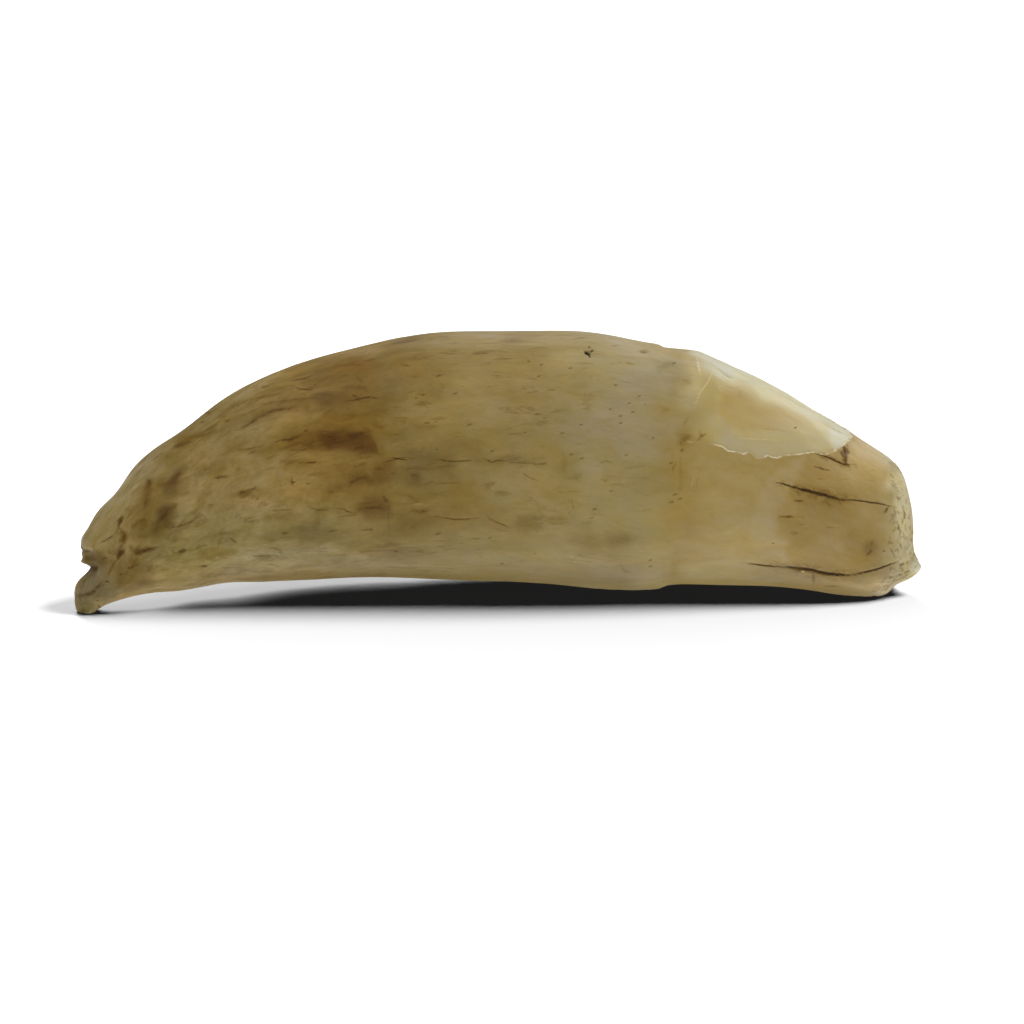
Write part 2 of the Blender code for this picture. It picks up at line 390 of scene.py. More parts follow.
def flake_outline(points, out, s, turn):
    rim = pick(points, out, s, turn, RIM)
    front = np.stack([rim[:, 0], (rim[:, 1] - np.pi / 2) * ARC], axis=1)
    behind = [(x, (np.radians(t) - np.pi / 2) * ARC) for x, t in FLAKE_BEHIND]
    return np.vstack([front, behind])


class Line:
    """A crack, dash, stain or pit, as a line with a width on the drawing or on the skin."""

    def __init__(self, points, half, strength, ink, soft=0.6, groove=0.0, skin_at=None):
        self.points = np.array(points, float).reshape(-1, 2)
        self.half, self.strength, self.ink = half, strength, ink
        self.soft, self.groove, self.skin_at = soft, groove, skin_at
        step = np.linalg.norm(np.diff(self.points, axis=0), axis=1)
        self.length = step.sum()
        self.at = np.concatenate([[0], np.cumsum(step)])

    def chart(self, place):
        """The surface laid flat round this line, in units of the drawing."""
        if self.skin_at is None:
            return place["u"], place["v"], place["facing"] > -0.12
        s0, turn0 = self.skin_at
        swing = (place["turn"] - turn0 + np.pi) % (2 * np.pi) - np.pi
        away = (place["s"] - s0) / PX, swing * place["round"] / PX
        return *away, (np.abs(swing) < 1.3) & (place["facing"] < 0.25)

    def measure(self, place, within):
        """The points near the line: which, -1 to 1 along it, half widths off it, and units off it."""
        u, v, usable = self.chart(place)
        low, high = self.points.min(axis=0) - within, self.points.max(axis=0) + within
        near = np.flatnonzero(
            usable & (u > low[0]) & (u < high[0]) & (v > low[1]) & (v < high[1])
        )
        u, v = u[near], v[near]
        least = np.full(len(near), 1e9)
        along, off = np.zeros(len(near)), np.zeros(len(near))
        last = len(self.points) - 2
        for k in range(last + 1):
            (ax, ay), (bx, by) = self.points[k], self.points[k + 1]
            long = np.hypot(bx - ax, by - ay)
            dx, dy = (bx - ax) / long, (by - ay) / long
            t = (u - ax) * dx + (v - ay) * dy
            side = (v - ay) * dx - (u - ax) * dy
            held = np.clip(t, 0, long)
            gap = np.hypot(t - held, side)
            better = gap < least
            least[better] = gap[better]
            free = np.clip(t, 0 if k else -1e9, 1e9 if k == last else long)
            along[better] = (self.at[k] + free)[better]
            off[better] = side[better]
        reach = self.length / 2 + self.half
        return near, (along - self.length / 2) / reach, off / self.half, least


class Patch:
    """A stain with an outline on the drawing and an edge of a given softness."""

    def __init__(self, outline, soft, ink, strength):
        self.outline = np.array(outline, float).reshape(-1, 2)
        self.half, self.ink, self.strength = soft, ink, strength
        self.fray = 15.0 / soft

    def measure(self, place, within):
        """The points near the patch: which, and how far in from its outline in units of the softness."""
        u, v = place["u"], place["v"]
        low, high = self.outline.min(axis=0) - within, self.outline.max(axis=0) + within
        near = np.flatnonzero(
            (place["facing"] > -0.12) & (u > low[0]) & (u < high[0]) & (v > low[1]) & (v < high[1])
        )
        deep = inside(u[near], v[near], self.outline)
        return near[deep > -within], deep[deep > -within] / self.half


def grooves(place, lines):
    """How far each point is let into the surface by the cracks and pits."""
    depth = np.zeros(len(place["s"]))
    for line in lines:
        if line.groove:
            near, a, b, _ = line.measure(place, 3 * line.half + 4)
            d = np.sqrt(a * a + b * b)
            lip = 0.12 * np.exp(-((d - 1.5) ** 2) / 0.12) if line.groove > 0.25 else 0
            cut = np.where(d < 1.25, np.cos(np.clip(d / 1.25, 0, 1) * np.pi / 2) ** 1.4, 0) - lip
            depth[near] = np.maximum(depth[near], line.groove * cut)
    return depth


def survey(s, turn, points, out):
    """What the lines need to know of each point."""
    u, v = drawn(points)
    radius = np.interp(s, FINE_S, FINE_GIRTH / (2 * np.pi))
    return {"u": u, "v": v, "facing": facing(points, out), "s": s, "turn": turn, "round": radius}


FINE_S = np.linspace(0, LENGTH, 300)
FINE_GIRTH = girth(FINE_S)


def relief(s, turn, place, deep):
    """Fine unevenness of the surface, mm: long grain and dents, and shell-like ripples on the flake."""
    g = rounds(s, turn)
    fine = 0.020 * waves(g / [9.0, 1.8, 1.8], 41) + 0.014 * waves(g / [2.4, 0.9, 0.9], 42)
    fine += 0.05 * waves(g / [7.0, 4.0, 4.0], 43)
    dents = np.clip(waves(g / [2.6, 1.3, 1.3], 44) - 0.45, 0, 1)
    fine -= 0.10 * dents * ramp(-0.2, 0.5, waves(g / 9.0, 45))
    on_flake = ramp(0.0, 0.5, deep)
    fine *= 1 - 0.65 * on_flake
    # shell-like ripples on the flake
    fine += 0.035 * on_flake * np.sin(deep * 2.1 + 1.5 * waves(g / 6.0, 46)) * (1 - ramp(3, 9, deep))
    fine *= ramp(0, 6, s) * ramp(0, 5, LENGTH - s)
    return fine


def shaped(s, turn, faces, lines, outline):
    tris = triangles(faces)
    points, out, lift = base(s, turn, tris)
    u, v = drawn(points)
    front = ramp(-0.15, 0.35, -np.cos(turn))

    # the flake: a crisp lip, a bevel under it and a shallow shell-shaped hollow
    deep = inside(points[:, 0], (turn - np.pi / 2) * ARC, outline)
    deep = np.where(np.abs(deep) > 30, -30, deep)
    crisp = ramp(700, 724, u)
    lift -= (
        0.26 * (ramp(-0.10, 0.16, deep) * crisp + ramp(-0.6, 5.0, deep) * (1 - crisp))
        + 0.36 * (ramp(0.1, 2.9, deep) * crisp + ramp(0.0, 6.0, deep) * (1 - crisp))
        + (FLAKE_DEPTH - 0.62) * ramp(2.2, 9.0, deep)
    )
    lift += 0.07 * crisp * np.exp(-(((deep + 0.22) / 0.18) ** 2))
    points = points + lift[:, None] * out

    # the broken root: hollow under the upper lobe, open to the front and to the end
    edge = 547 + 0.40 * (u - 81) + 1.6 * waves(np.stack([u / 9, v / 9, v * 0], axis=1), 51)
    hollow = (
        ramp(-5.0, 9.0, v - edge)
        * (1 - ramp(8, 44, v - edge))
        * (1 - ramp(88, 112, u))
        * front
    )
    points = points + (HOLLOW_DEPTH * hollow)[:, None] * np.array([0.22, 0.97, 0.08])
    reach = np.where(v < 567.5, 3.4, 12.0)
    notch = np.exp(-(((v - 567.5) / reach) ** 2)) * (1 - ramp(81, 101, u))
    points[:, 0] += NOTCH_DEPTH * notch
    dent = np.exp(-(((v - 550.5) / 2.2) ** 2)) * (1 - ramp(84, 96, u))
    points[:, 0] += 0.35 * dent
    # the two lobes and the lip are not quite as far out as the loft puts them
    points[:, 0] += 0.85 * np.exp(-(((v - 558) / 6) ** 2)) * (1 - ramp(86, 100, u))
    points[:, 0] -= 0.40 * np.exp(-(((v - 537) / 7) ** 2)) * (1 - ramp(86, 110, u))

    # the shoulder above the crown's end stands a little fuller
    full = np.exp(-(((u - 897) / 20) ** 2) - ((v - 474) / 34) ** 2)
    points = points + (0.50 * full)[:, None] * np.array([0.75, 0.0, 0.66])

    # and its foot is worn back under the lump
    foot = np.exp(-(((u - 905) / 11) ** 2) - ((v - 591) / 7) ** 2) * front
    points = points + (1.25 * foot)[:, None] * np.array([-0.85, 0.0, 0.5])

    # the small lump at the foot of the crown's end
    away = np.linalg.norm(points - np.array(NUB_AT), axis=1)
    nub = NUB_HEIGHT * np.exp(-((away / NUB_WIDTH) ** 2) / 2)
    points = points + nub[:, None] * np.array([0.97, -0.2, 0.12])

    out = normals(points, tris)
    place = survey(s, turn, points, out)
    lift = relief(s, turn, place, deep) - grooves(place, lines)

    # pits of the crown's worn end and of the broken lip, from the drawing and round the tips
    g = points / 1.0
    strip = u - np.interp(v, WORN_FROM[0], WORN_FROM[1]) + 2.0 * waves(g / 1.6, 65)
    seen = ramp(-0.2, 0.0, place["facing"])
    worn = ramp(-2, 2, strip) * seen + ramp(-2.2, -0.6, s - LENGTH + 7.5) * (1 - seen)
    lump = waves(g / 1.3, 61) + 0.8 * waves(g / 0.7, 62)
    lift -= 0.26 * worn * np.clip(lump - 0.10, 0, 1.2) - 0.06 * worn
    broken = 1 - ramp(5, 9, s)
    lift -= 0.24 * broken * np.clip(waves(g / 1.7, 63) + 0.6 * waves(g / 0.8, 64) - 0.1, 0, 1.2)
    points = points + lift[:, None] * out

    flat = points[:, 2] < 0.0
    points[:, 2] = np.maximum(points[:, 2], 0)
    place["deep"], place["hollow"], place["worn"], place["broken"] = deep, hollow, worn, broken
    place["flat"] = flat
    place["out"] = out
    return points, place


# ---------------------------------------------------------------- colours
def pigment(r, g, b):
    """A colour as it looks under these lights, 0 to 255, made the surface's own."""
    c = (np.array([r, g, b], float) / 255 + 0.055) / 1.055
    c = c**2.4
    return np.maximum(c - SHEEN, c * 0.35) / LIT


LIT, SHEEN = 0.98, np.array([0.009, 0.011, 0.015])  # light on the front, and what gloss adds
BROWN, DARK, BLACK = (88, 64, 24), (66, 48, 18), (40, 30, 18)
RED, AMBER, OLIVE = (108, 80, 42), (134, 108, 56), (102, 86, 42)
GREY, LILAC, PALE, CREAM = (102, 88, 54), (126, 108, 72), (190, 178, 142), (206, 196, 164)

# stains, dashes and pits on the drawing: from, to, half width, strength, ink, softness
FRONT_MARKS = (
    # root
    (179.5, 551.4, 186, 549.8, 2.1, 0.75, DARK, 0.75), (215, 478, 227, 476.4, 2.0, 0.75, DARK, 0.8),
    (203, 468, 212, 466, 5.0, 0.25, OLIVE, 1.0), (204, 470, 209, 468, 1.3, 0.45, DARK, 0.8),
    (221, 455.5, 227, 453, 1.9, 0.45, OLIVE, 0.9),
    (249, 453.5, 256, 451, 1.3, 0.45, DARK, 0.8),
    (226, 421.5, 229, 420, 1.3, 0.65, DARK, 0.7),
    (201, 422.5, 203.6, 421.5, 1.2, 0.6, DARK, 0.7), (207, 413.5, 209.5, 412, 1.1, 0.55, DARK, 0.7),
    (230.5, 538.4, 236, 542.4, 1.6, 0.62, DARK, 0.7),
    (200, 566.4, 206.5, 565.6, 1.6, 0.75, DARK, 0.7), (196, 574.4, 231, 573.6, 0.9, 0.45, GREY, 0.8),
    (163, 569.6, 171, 569.9, 0.8, 0.5, GREY, 0.8),
    (120, 574.4, 122, 574.0, 1.2, 0.65, DARK, 0.7), (128, 568, 134, 567.4, 1.4, 0.45, DARK, 0.8),
    (148, 462, 166, 448, 4.6, 0.22, LILAC, 1.0), (106, 581.4, 108.6, 582, 1.2, 0.75, DARK, 0.6),
    (96, 600.6, 98.6, 600.2, 1.1, 0.6, DARK, 0.7), (98.6, 605.4, 99.8, 609, 1.1, 0.65, DARK, 0.7),
    (103, 558.6, 108, 557.4, 1.2, 0.55, DARK, 0.7), (134, 561, 137, 556, 1.5, 0.4, BROWN, 0.8),
    (151, 560, 153.6, 557, 1.2, 0.4, BROWN, 0.8), (171, 441, 180, 436.4, 1.8, 0.3, OLIVE, 0.9),
    (174, 561, 190, 557.6, 1.0, 0.35, GREY, 0.9),
    # left of the middle
    (346, 436, 366, 435, 3.6, 0.62, DARK, 0.9),
    (324, 444, 344, 441, 3.4, 0.5, DARK, 0.9),
    (304.4, 431.2, 307.6, 430.8, 1.3, 0.65, DARK, 0.7),
    (293, 463.4, 323, 462.0, 1.5, 0.50, BROWN, 0.8),
    (307, 462.8, 317, 462.2, 1.2, 0.6, DARK, 0.7),
    (291, 482.4, 295, 481.8, 1.3, 0.55, DARK, 0.7), (306, 484, 310, 483.2, 1.1, 0.5, DARK, 0.7),
    (360, 503.6, 372, 502.4, 1.5, 0.4, DARK, 0.85),
    (282, 533.6, 288, 532.6, 1.7, 0.62, DARK, 0.75), (328, 531.6, 337, 530.6, 1.6, 0.55, DARK, 0.75),
    (255, 556.4, 275, 555.0, 1.0, 0.55, DARK, 0.75),
    (334, 555.4, 348, 554.6, 0.9, 0.5, DARK, 0.75), (325, 572.4, 338, 571.0, 1.1, 0.45, BROWN, 0.8),
    (283, 575.4, 291, 574.8, 1.6, 0.34, LILAC, 0.9), (390, 435.2, 402, 434.2, 1.1, 0.6, BROWN, 0.75),
    (346, 392, 372, 386, 2.0, 0.28, OLIVE, 0.95),
    (262, 396, 292, 384, 2.6, 0.28, OLIVE, 0.95),
    (392, 408, 404, 407, 1.0, 0.4, BROWN, 0.8),
    (258, 470.6, 280, 467.4, 1.4, 0.34, OLIVE, 0.9), (322, 493, 346, 490.6, 1.5, 0.34, BROWN, 0.9),
    # middle
    (389, 344.4, 421, 338.6, 1.6, 0.50, BROWN, 0.8), (439, 337.0, 449, 336.4, 1.2, 0.5, BROWN, 0.8),
    (500, 341.4, 520, 338.8, 2.6, 0.38, BROWN, 0.95), (473, 354, 488, 352.8, 1.0, 0.6, BROWN, 0.75),
    (492, 359.6, 515, 358.4, 1.1, 0.55, BROWN, 0.8), (436.4, 376.4, 441, 375.2, 1.2, 0.6, DARK, 0.7),
    (452.4, 394, 457, 393.2, 1.2, 0.55, DARK, 0.7), (425, 423.4, 429.4, 422.2, 1.3, 0.6, DARK, 0.7),
    (467, 425.2, 471.4, 424.2, 1.2, 0.6, DARK, 0.7),
    (422, 395.6, 424.6, 394.6, 1.3, 0.6, DARK, 0.7),
    (415, 398.4, 417.4, 397.8, 1.1, 0.5, DARK, 0.7), (426, 410, 440, 393, 5.0, 0.22, LILAC, 1.0),
    (403, 446.4, 407.6, 445.6, 1.5, 0.36, RED, 0.85), (421, 448.6, 425.6, 447.6, 1.5, 0.36, RED, 0.85),
    (490.4, 451.4, 493.4, 450.8, 1.1, 0.65, DARK, 0.7),
    (527.4, 361.8, 529.8, 361.2, 1.0, 0.6, DARK, 0.7), (539.6, 365.4, 542.4, 364.6, 1.1, 0.6, DARK, 0.7),
    (568.6, 368.4, 571.4, 367.8, 1.0, 0.55, DARK, 0.7), (537.8, 376.4, 540.2, 375.8, 1.0, 0.55, DARK, 0.7),
    (546, 390.4, 555, 389.6, 1.1, 0.5, BROWN, 0.75), (535.8, 414.4, 538.2, 413.6, 1.1, 0.55, DARK, 0.7),
    (543.2, 418.4, 545.8, 417.8, 1.0, 0.5, DARK, 0.7), (560.8, 433.4, 563.4, 432.8, 1.1, 0.55, DARK, 0.7),
    (569.4, 455, 572.6, 454.4, 1.2, 0.55, DARK, 0.7), (543, 463.8, 546, 463.2, 1.0, 0.5, DARK, 0.7),
    (545, 520, 564, 518.4, 2.0, 0.34, RED, 0.95),
    (435.6, 534.4, 440.4, 533.6, 1.3, 0.55, DARK, 0.7), (469, 539, 482, 538.2, 1.1, 0.5, BROWN, 0.8),
    (488.2, 538.4, 491.2, 537.8, 1.0, 0.5, DARK, 0.7),
    (394.8, 551.8, 398.4, 551, 1.2, 0.55, DARK, 0.7),
    (500.4, 564, 503.6, 563.2, 1.1, 0.5, DARK, 0.7), (538, 583.4, 551, 583.0, 1.8, 0.36, RED, 0.9),
    (432, 357, 462, 352.4, 2.0, 0.26, OLIVE, 0.95), (452, 437.4, 470, 436.0, 1.2, 0.34, OLIVE, 0.9),
    (560, 492.4, 584, 491.0, 1.3, 0.28, OLIVE, 0.95), (432, 492.8, 456, 491.4, 1.5, 0.30, OLIVE, 0.95),
    # right of the middle
    (610, 346.2, 620, 345.6, 1.4, 0.45, GREY, 0.85), (574, 338.6, 588, 337.4, 1.3, 0.5, BROWN, 0.8),
    (660, 368, 672, 362, 3.6, 0.36, GREY, 0.95), (672.4, 363.8, 675.2, 363, 1.1, 0.6, DARK, 0.7),
    (684.5, 382, 689.5, 380, 3.2, 0.35, BROWN, 0.95),
    (681.6, 440.4, 686.4, 437.8, 3.6, 0.40, BROWN, 0.95), (680.8, 450.8, 683.2, 450, 1.4, 0.6, DARK, 0.75),
    (614.8, 385.2, 617.2, 384.6, 1.0, 0.55, DARK, 0.7), (638.2, 396.4, 640.8, 395.8, 1.1, 0.55, DARK, 0.7),
    (627.8, 403.4, 630.4, 402.8, 1.0, 0.5, DARK, 0.7), (631.8, 412.4, 634.4, 411.8, 1.1, 0.5, DARK, 0.7),
    (618.8, 416.4, 621.4, 415.8, 1.1, 0.55, DARK, 0.7), (619.4, 423.4, 621.8, 422.8, 1.0, 0.5, DARK, 0.7),
    (608.8, 409.4, 611.2, 408.8, 0.9, 0.5, DARK, 0.7), (580, 425, 582.4, 424.4, 1.0, 0.5, DARK, 0.7),
    (580.4, 458.8, 583.2, 458, 1.1, 0.55, DARK, 0.7), (600, 463, 606, 460.8, 1.0, 0.5, BROWN, 0.8),
    (606, 460.8, 612.5, 462.6, 1.0, 0.5, BROWN, 0.8), (624.8, 455.4, 627.4, 454.8, 1.1, 0.5, DARK, 0.7),
    (651.8, 438.4, 654.4, 437.8, 1.0, 0.5, DARK, 0.7), (669, 463.4, 672.2, 462.8, 1.2, 0.55, DARK, 0.7),
    (662, 411.4, 670, 409, 2.6, 0.28, RED, 0.95), (609.8, 491.4, 612.4, 490.8, 1.0, 0.5, DARK, 0.7),
    (593.4, 509.4, 596, 508.8, 1.1, 0.55, DARK, 0.7), (589.8, 518.4, 592.4, 517.8, 1.0, 0.5, DARK, 0.7),
    (648.8, 560.4, 651.4, 559.8, 1.2, 0.55, DARK, 0.7), (648.8, 566.4, 651.6, 565.8, 1.3, 0.6, DARK, 0.7),
    (673.6, 494.8, 676.8, 494, 1.5, 0.65, DARK, 0.75), (669.6, 502.4, 672.6, 501.6, 1.4, 0.6, DARK, 0.75),
    (678.8, 499.4, 681.4, 498.4, 1.2, 0.55, DARK, 0.75),
    (612, 543, 622, 540, 2.0, 0.36, BROWN, 0.95), (624, 468.8, 646, 465.4, 1.6, 0.34, OLIVE, 0.9),
    (690.4, 491, 695.4, 470, 0.9, 0.25, PALE, 0.8),
    (696, 489, 699, 474, 0.7, 0.22, BROWN, 0.8), (672.6, 470, 676, 462, 1.3, 0.45, DARK, 0.85),
    (663.6, 588, 664.4, 561, 1.6, 0.12, BROWN, 0.95), (636, 512, 652, 509.4, 1.1, 0.3, OLIVE, 0.9),
    (684, 424, 688, 418, 2.0, 0.3, BROWN, 0.9),
    # crown
    (794.6, 427.9, 796.2, 427.6, 0.9, 0.85, BLACK, 0.6), (813, 466.2, 830.5, 470.7, 1.2, 0.70, DARK, 0.7),
    (816, 478.6, 824, 479.0, 0.9, 0.45, BROWN, 0.75), (794, 500.4, 805, 501.2, 1.2, 0.65, DARK, 0.7),
    (780, 516.6, 794, 516.8, 1.5, 0.80, DARK, 0.7), (777, 517.2, 799, 517.0, 3.6, 0.36, AMBER, 1.0),
    (797, 524.2, 805, 524.8, 1.0, 0.35, BROWN, 0.8), (791, 533.0, 797, 533.4, 1.7, 0.40, BROWN, 0.85),
    (825.6, 527.2, 840, 528.0, 0.8, 0.40, BROWN, 0.75), (822, 586.4, 841, 586.6, 1.1, 0.55, BROWN, 0.75),
    (813.4, 572.8, 812.8, 582.6, 1.0, 0.55, DARK, 0.8), (772.2, 543.4, 774, 542.9, 0.9, 0.65, DARK, 0.65),
    (882.8, 551.4, 884.6, 550.8, 1.0, 0.7, DARK, 0.65), (886, 512.4, 887.4, 508.4, 1.4, 0.65, DARK, 0.75),
    (867.4, 555, 872, 549.6, 1.8, 0.6, DARK, 0.9),
    (806, 484.6, 846, 489, 1.0, 0.22, LILAC, 0.9), (828, 449.6, 842, 450.6, 0.8, 0.3, BROWN, 0.8),
    (870, 470.4, 874, 470.0, 1.0, 0.4, BROWN, 0.8), (866, 480.4, 876, 480.0, 0.8, 0.3, BROWN, 0.85),
    (788, 571.6, 794, 571.8, 1.0, 0.3, BROWN, 0.85), (836, 480, 852, 479, 0.8, 0.22, BROWN, 0.85),
    (874, 590.6, 886, 585.2, 1.3, 0.35, DARK, 0.85), (796, 491, 800, 497, 0.9, 0.35, BROWN, 0.85),
    (732, 437.8, 781, 440.2, 0.8, 0.40, (214, 190, 160), 0.8), (700, 437, 706, 434, 1.4, 0.4, BROWN, 0.9),
    (896, 496.4, 899, 500, 1.2, 0.5, DARK, 0.85), (903, 505, 904.6, 514, 1.1, 0.5, DARK, 0.85),
    (897.4, 522, 898.6, 530, 1.2, 0.45, DARK, 0.85), (905.4, 524, 906, 531, 1.1, 0.45, DARK, 0.85),
    (900.6, 540, 900.2, 547, 1.0, 0.4, DARK, 0.85), (908.6, 515, 909.4, 520, 0.9, 0.4, DARK, 0.85),
    (892, 484, 895, 489, 1.0, 0.35, BROWN, 0.85), (907.6, 536, 907.2, 542, 0.9, 0.4, DARK, 0.85),
)

# cracks and pits that are cut into the shape: points, half width, strength, ink, softness, depth
FRONT_CUTS = (
    ((776.7, 482.3, 783, 483.8, 789, 486, 795, 487.4), 1.05, 0.9, DARK, 0.62, 0.16),
    ((788, 485.6, 795, 487.4, 801, 489.2, 809, 491, 818, 493.6, 826, 495, 833, 497.4, 839, 499.3,
      846, 500.2), 2.1, 1.0, BLACK, 0.62, 0.30),
    ((842, 499.8, 851, 499.7, 857, 500.4, 865, 501.4, 872, 502.7, 878, 503.2, 884, 504.5, 889, 506,
      896, 507.6), 1.05, 0.9, DARK, 0.62, 0.18),
    ((745, 562.6, 750, 563.6, 757, 564.7, 764, 565.5, 772, 566, 782, 567), 1.05, 0.9, DARK, 0.62, 0.18),
    ((776, 566.6, 789, 567.3, 799, 568.7, 806, 569.2, 813, 570.5, 819, 572.2, 825.5, 573.4, 836, 574.6,
      847.5, 575.2, 857, 574), 1.9, 1.0, BLACK, 0.62, 0.28),
    ((852, 574.6, 862, 572.8, 870, 571.1, 878, 569, 884, 566.6, 889, 564.8, 894, 562.8, 898, 560.4), 1.2, 0.9, DARK, 0.62, 0.20),
    ((815.8, 453.2, 822, 455.2, 830.5, 458, 838, 461.6, 845, 464.6, 852, 464.4), 1.15, 0.95, DARK, 0.55, 0.28),
    ((844.0, 448.6, 845.6, 453.4), 1.9, 0.85, DARK, 0.85, 0.20),
    ((845.4, 456.6, 846.4, 464), 1.3, 0.80, DARK, 0.85, 0.16),
    ((98.4, 543.6, 104, 540.6, 109.6, 537.6, 114, 535), 1.3, 0.80, DARK, 0.8, 0.16),
    ((114, 535, 117, 529.6, 120, 524.6), 1.3, 0.45, BROWN, 0.88, 0.10),
    ((391, 457.4, 400, 459.2, 408, 460), 0.95, 0.85, DARK, 0.6, 0.10),
    ((434, 459.4, 442, 460.2, 450, 461.4, 459, 461.4, 468, 460.6, 477, 460.4), 1.05, 0.75, DARK, 0.7, 0.10),
    ((483, 458.8, 488, 460.2, 492, 462.4, 497, 460.6, 506, 460.8), 1.1, 0.75, DARK, 0.7, 0.10),
    ((510, 462.4, 524, 463.2, 542, 463), 0.7, 0.55, DARK, 0.7, 0.06),
    ((431, 515.8, 438, 516.4, 445, 517.8, 456.5, 519.5, 468, 518.9, 481, 517.4), 1.05, 0.85, BROWN, 0.7, 0.10),
    ((496, 522.6, 502, 524.2, 507.5, 526.6), 1.0, 0.75, BROWN, 0.7, 0.08),
    ((585.6, 352.0, 589.0, 353.2), 2.1, 1.0, (22, 17, 10), 0.55, 0.50),
    ((588.8, 354.6, 589.8, 356.6), 1.3, 0.95, BLACK, 0.7, 0.20),
    ((590.8, 351.2, 592.6, 350.4), 1.4, 0.90, BLACK, 0.7, 0.20),
    ((588.6, 348.2, 589.4, 346.6), 1.2, 0.80, DARK, 0.8, 0.16),
    ((640.4, 351.8, 646.6, 351.4), 2.4, 0.75, GREY, 0.8, 0.24),
    ((132, 550.4, 137, 553, 142, 550.4, 150, 549.4, 160, 546.6), 1.9, 0.62, BROWN, 0.9, 0.10),
    ((877, 593.8, 885, 588.4, 894, 582.6, 904, 576.6, 911, 571.8), 1.4, 0.45, DARK, 0.9, 0.24),
    ((900.5, 565.6, 903, 563.4), 1.5, 0.65, DARK, 0.85, 0.26),
    ((905.6, 572.4, 908.8, 570.6), 1.5, 0.55, DARK, 0.85, 0.22),
    ((899, 574.8, 901.6, 573.6), 1.3, 0.55, DARK, 0.85, 0.20),
    ((906.4, 563.8, 908, 560.8), 1.1, 0.5, DARK, 0.85, 0.16),
    ((802, 571.9, 804, 571.5), 0.8, 0.7, CREAM, 0.6, 0.0),
)

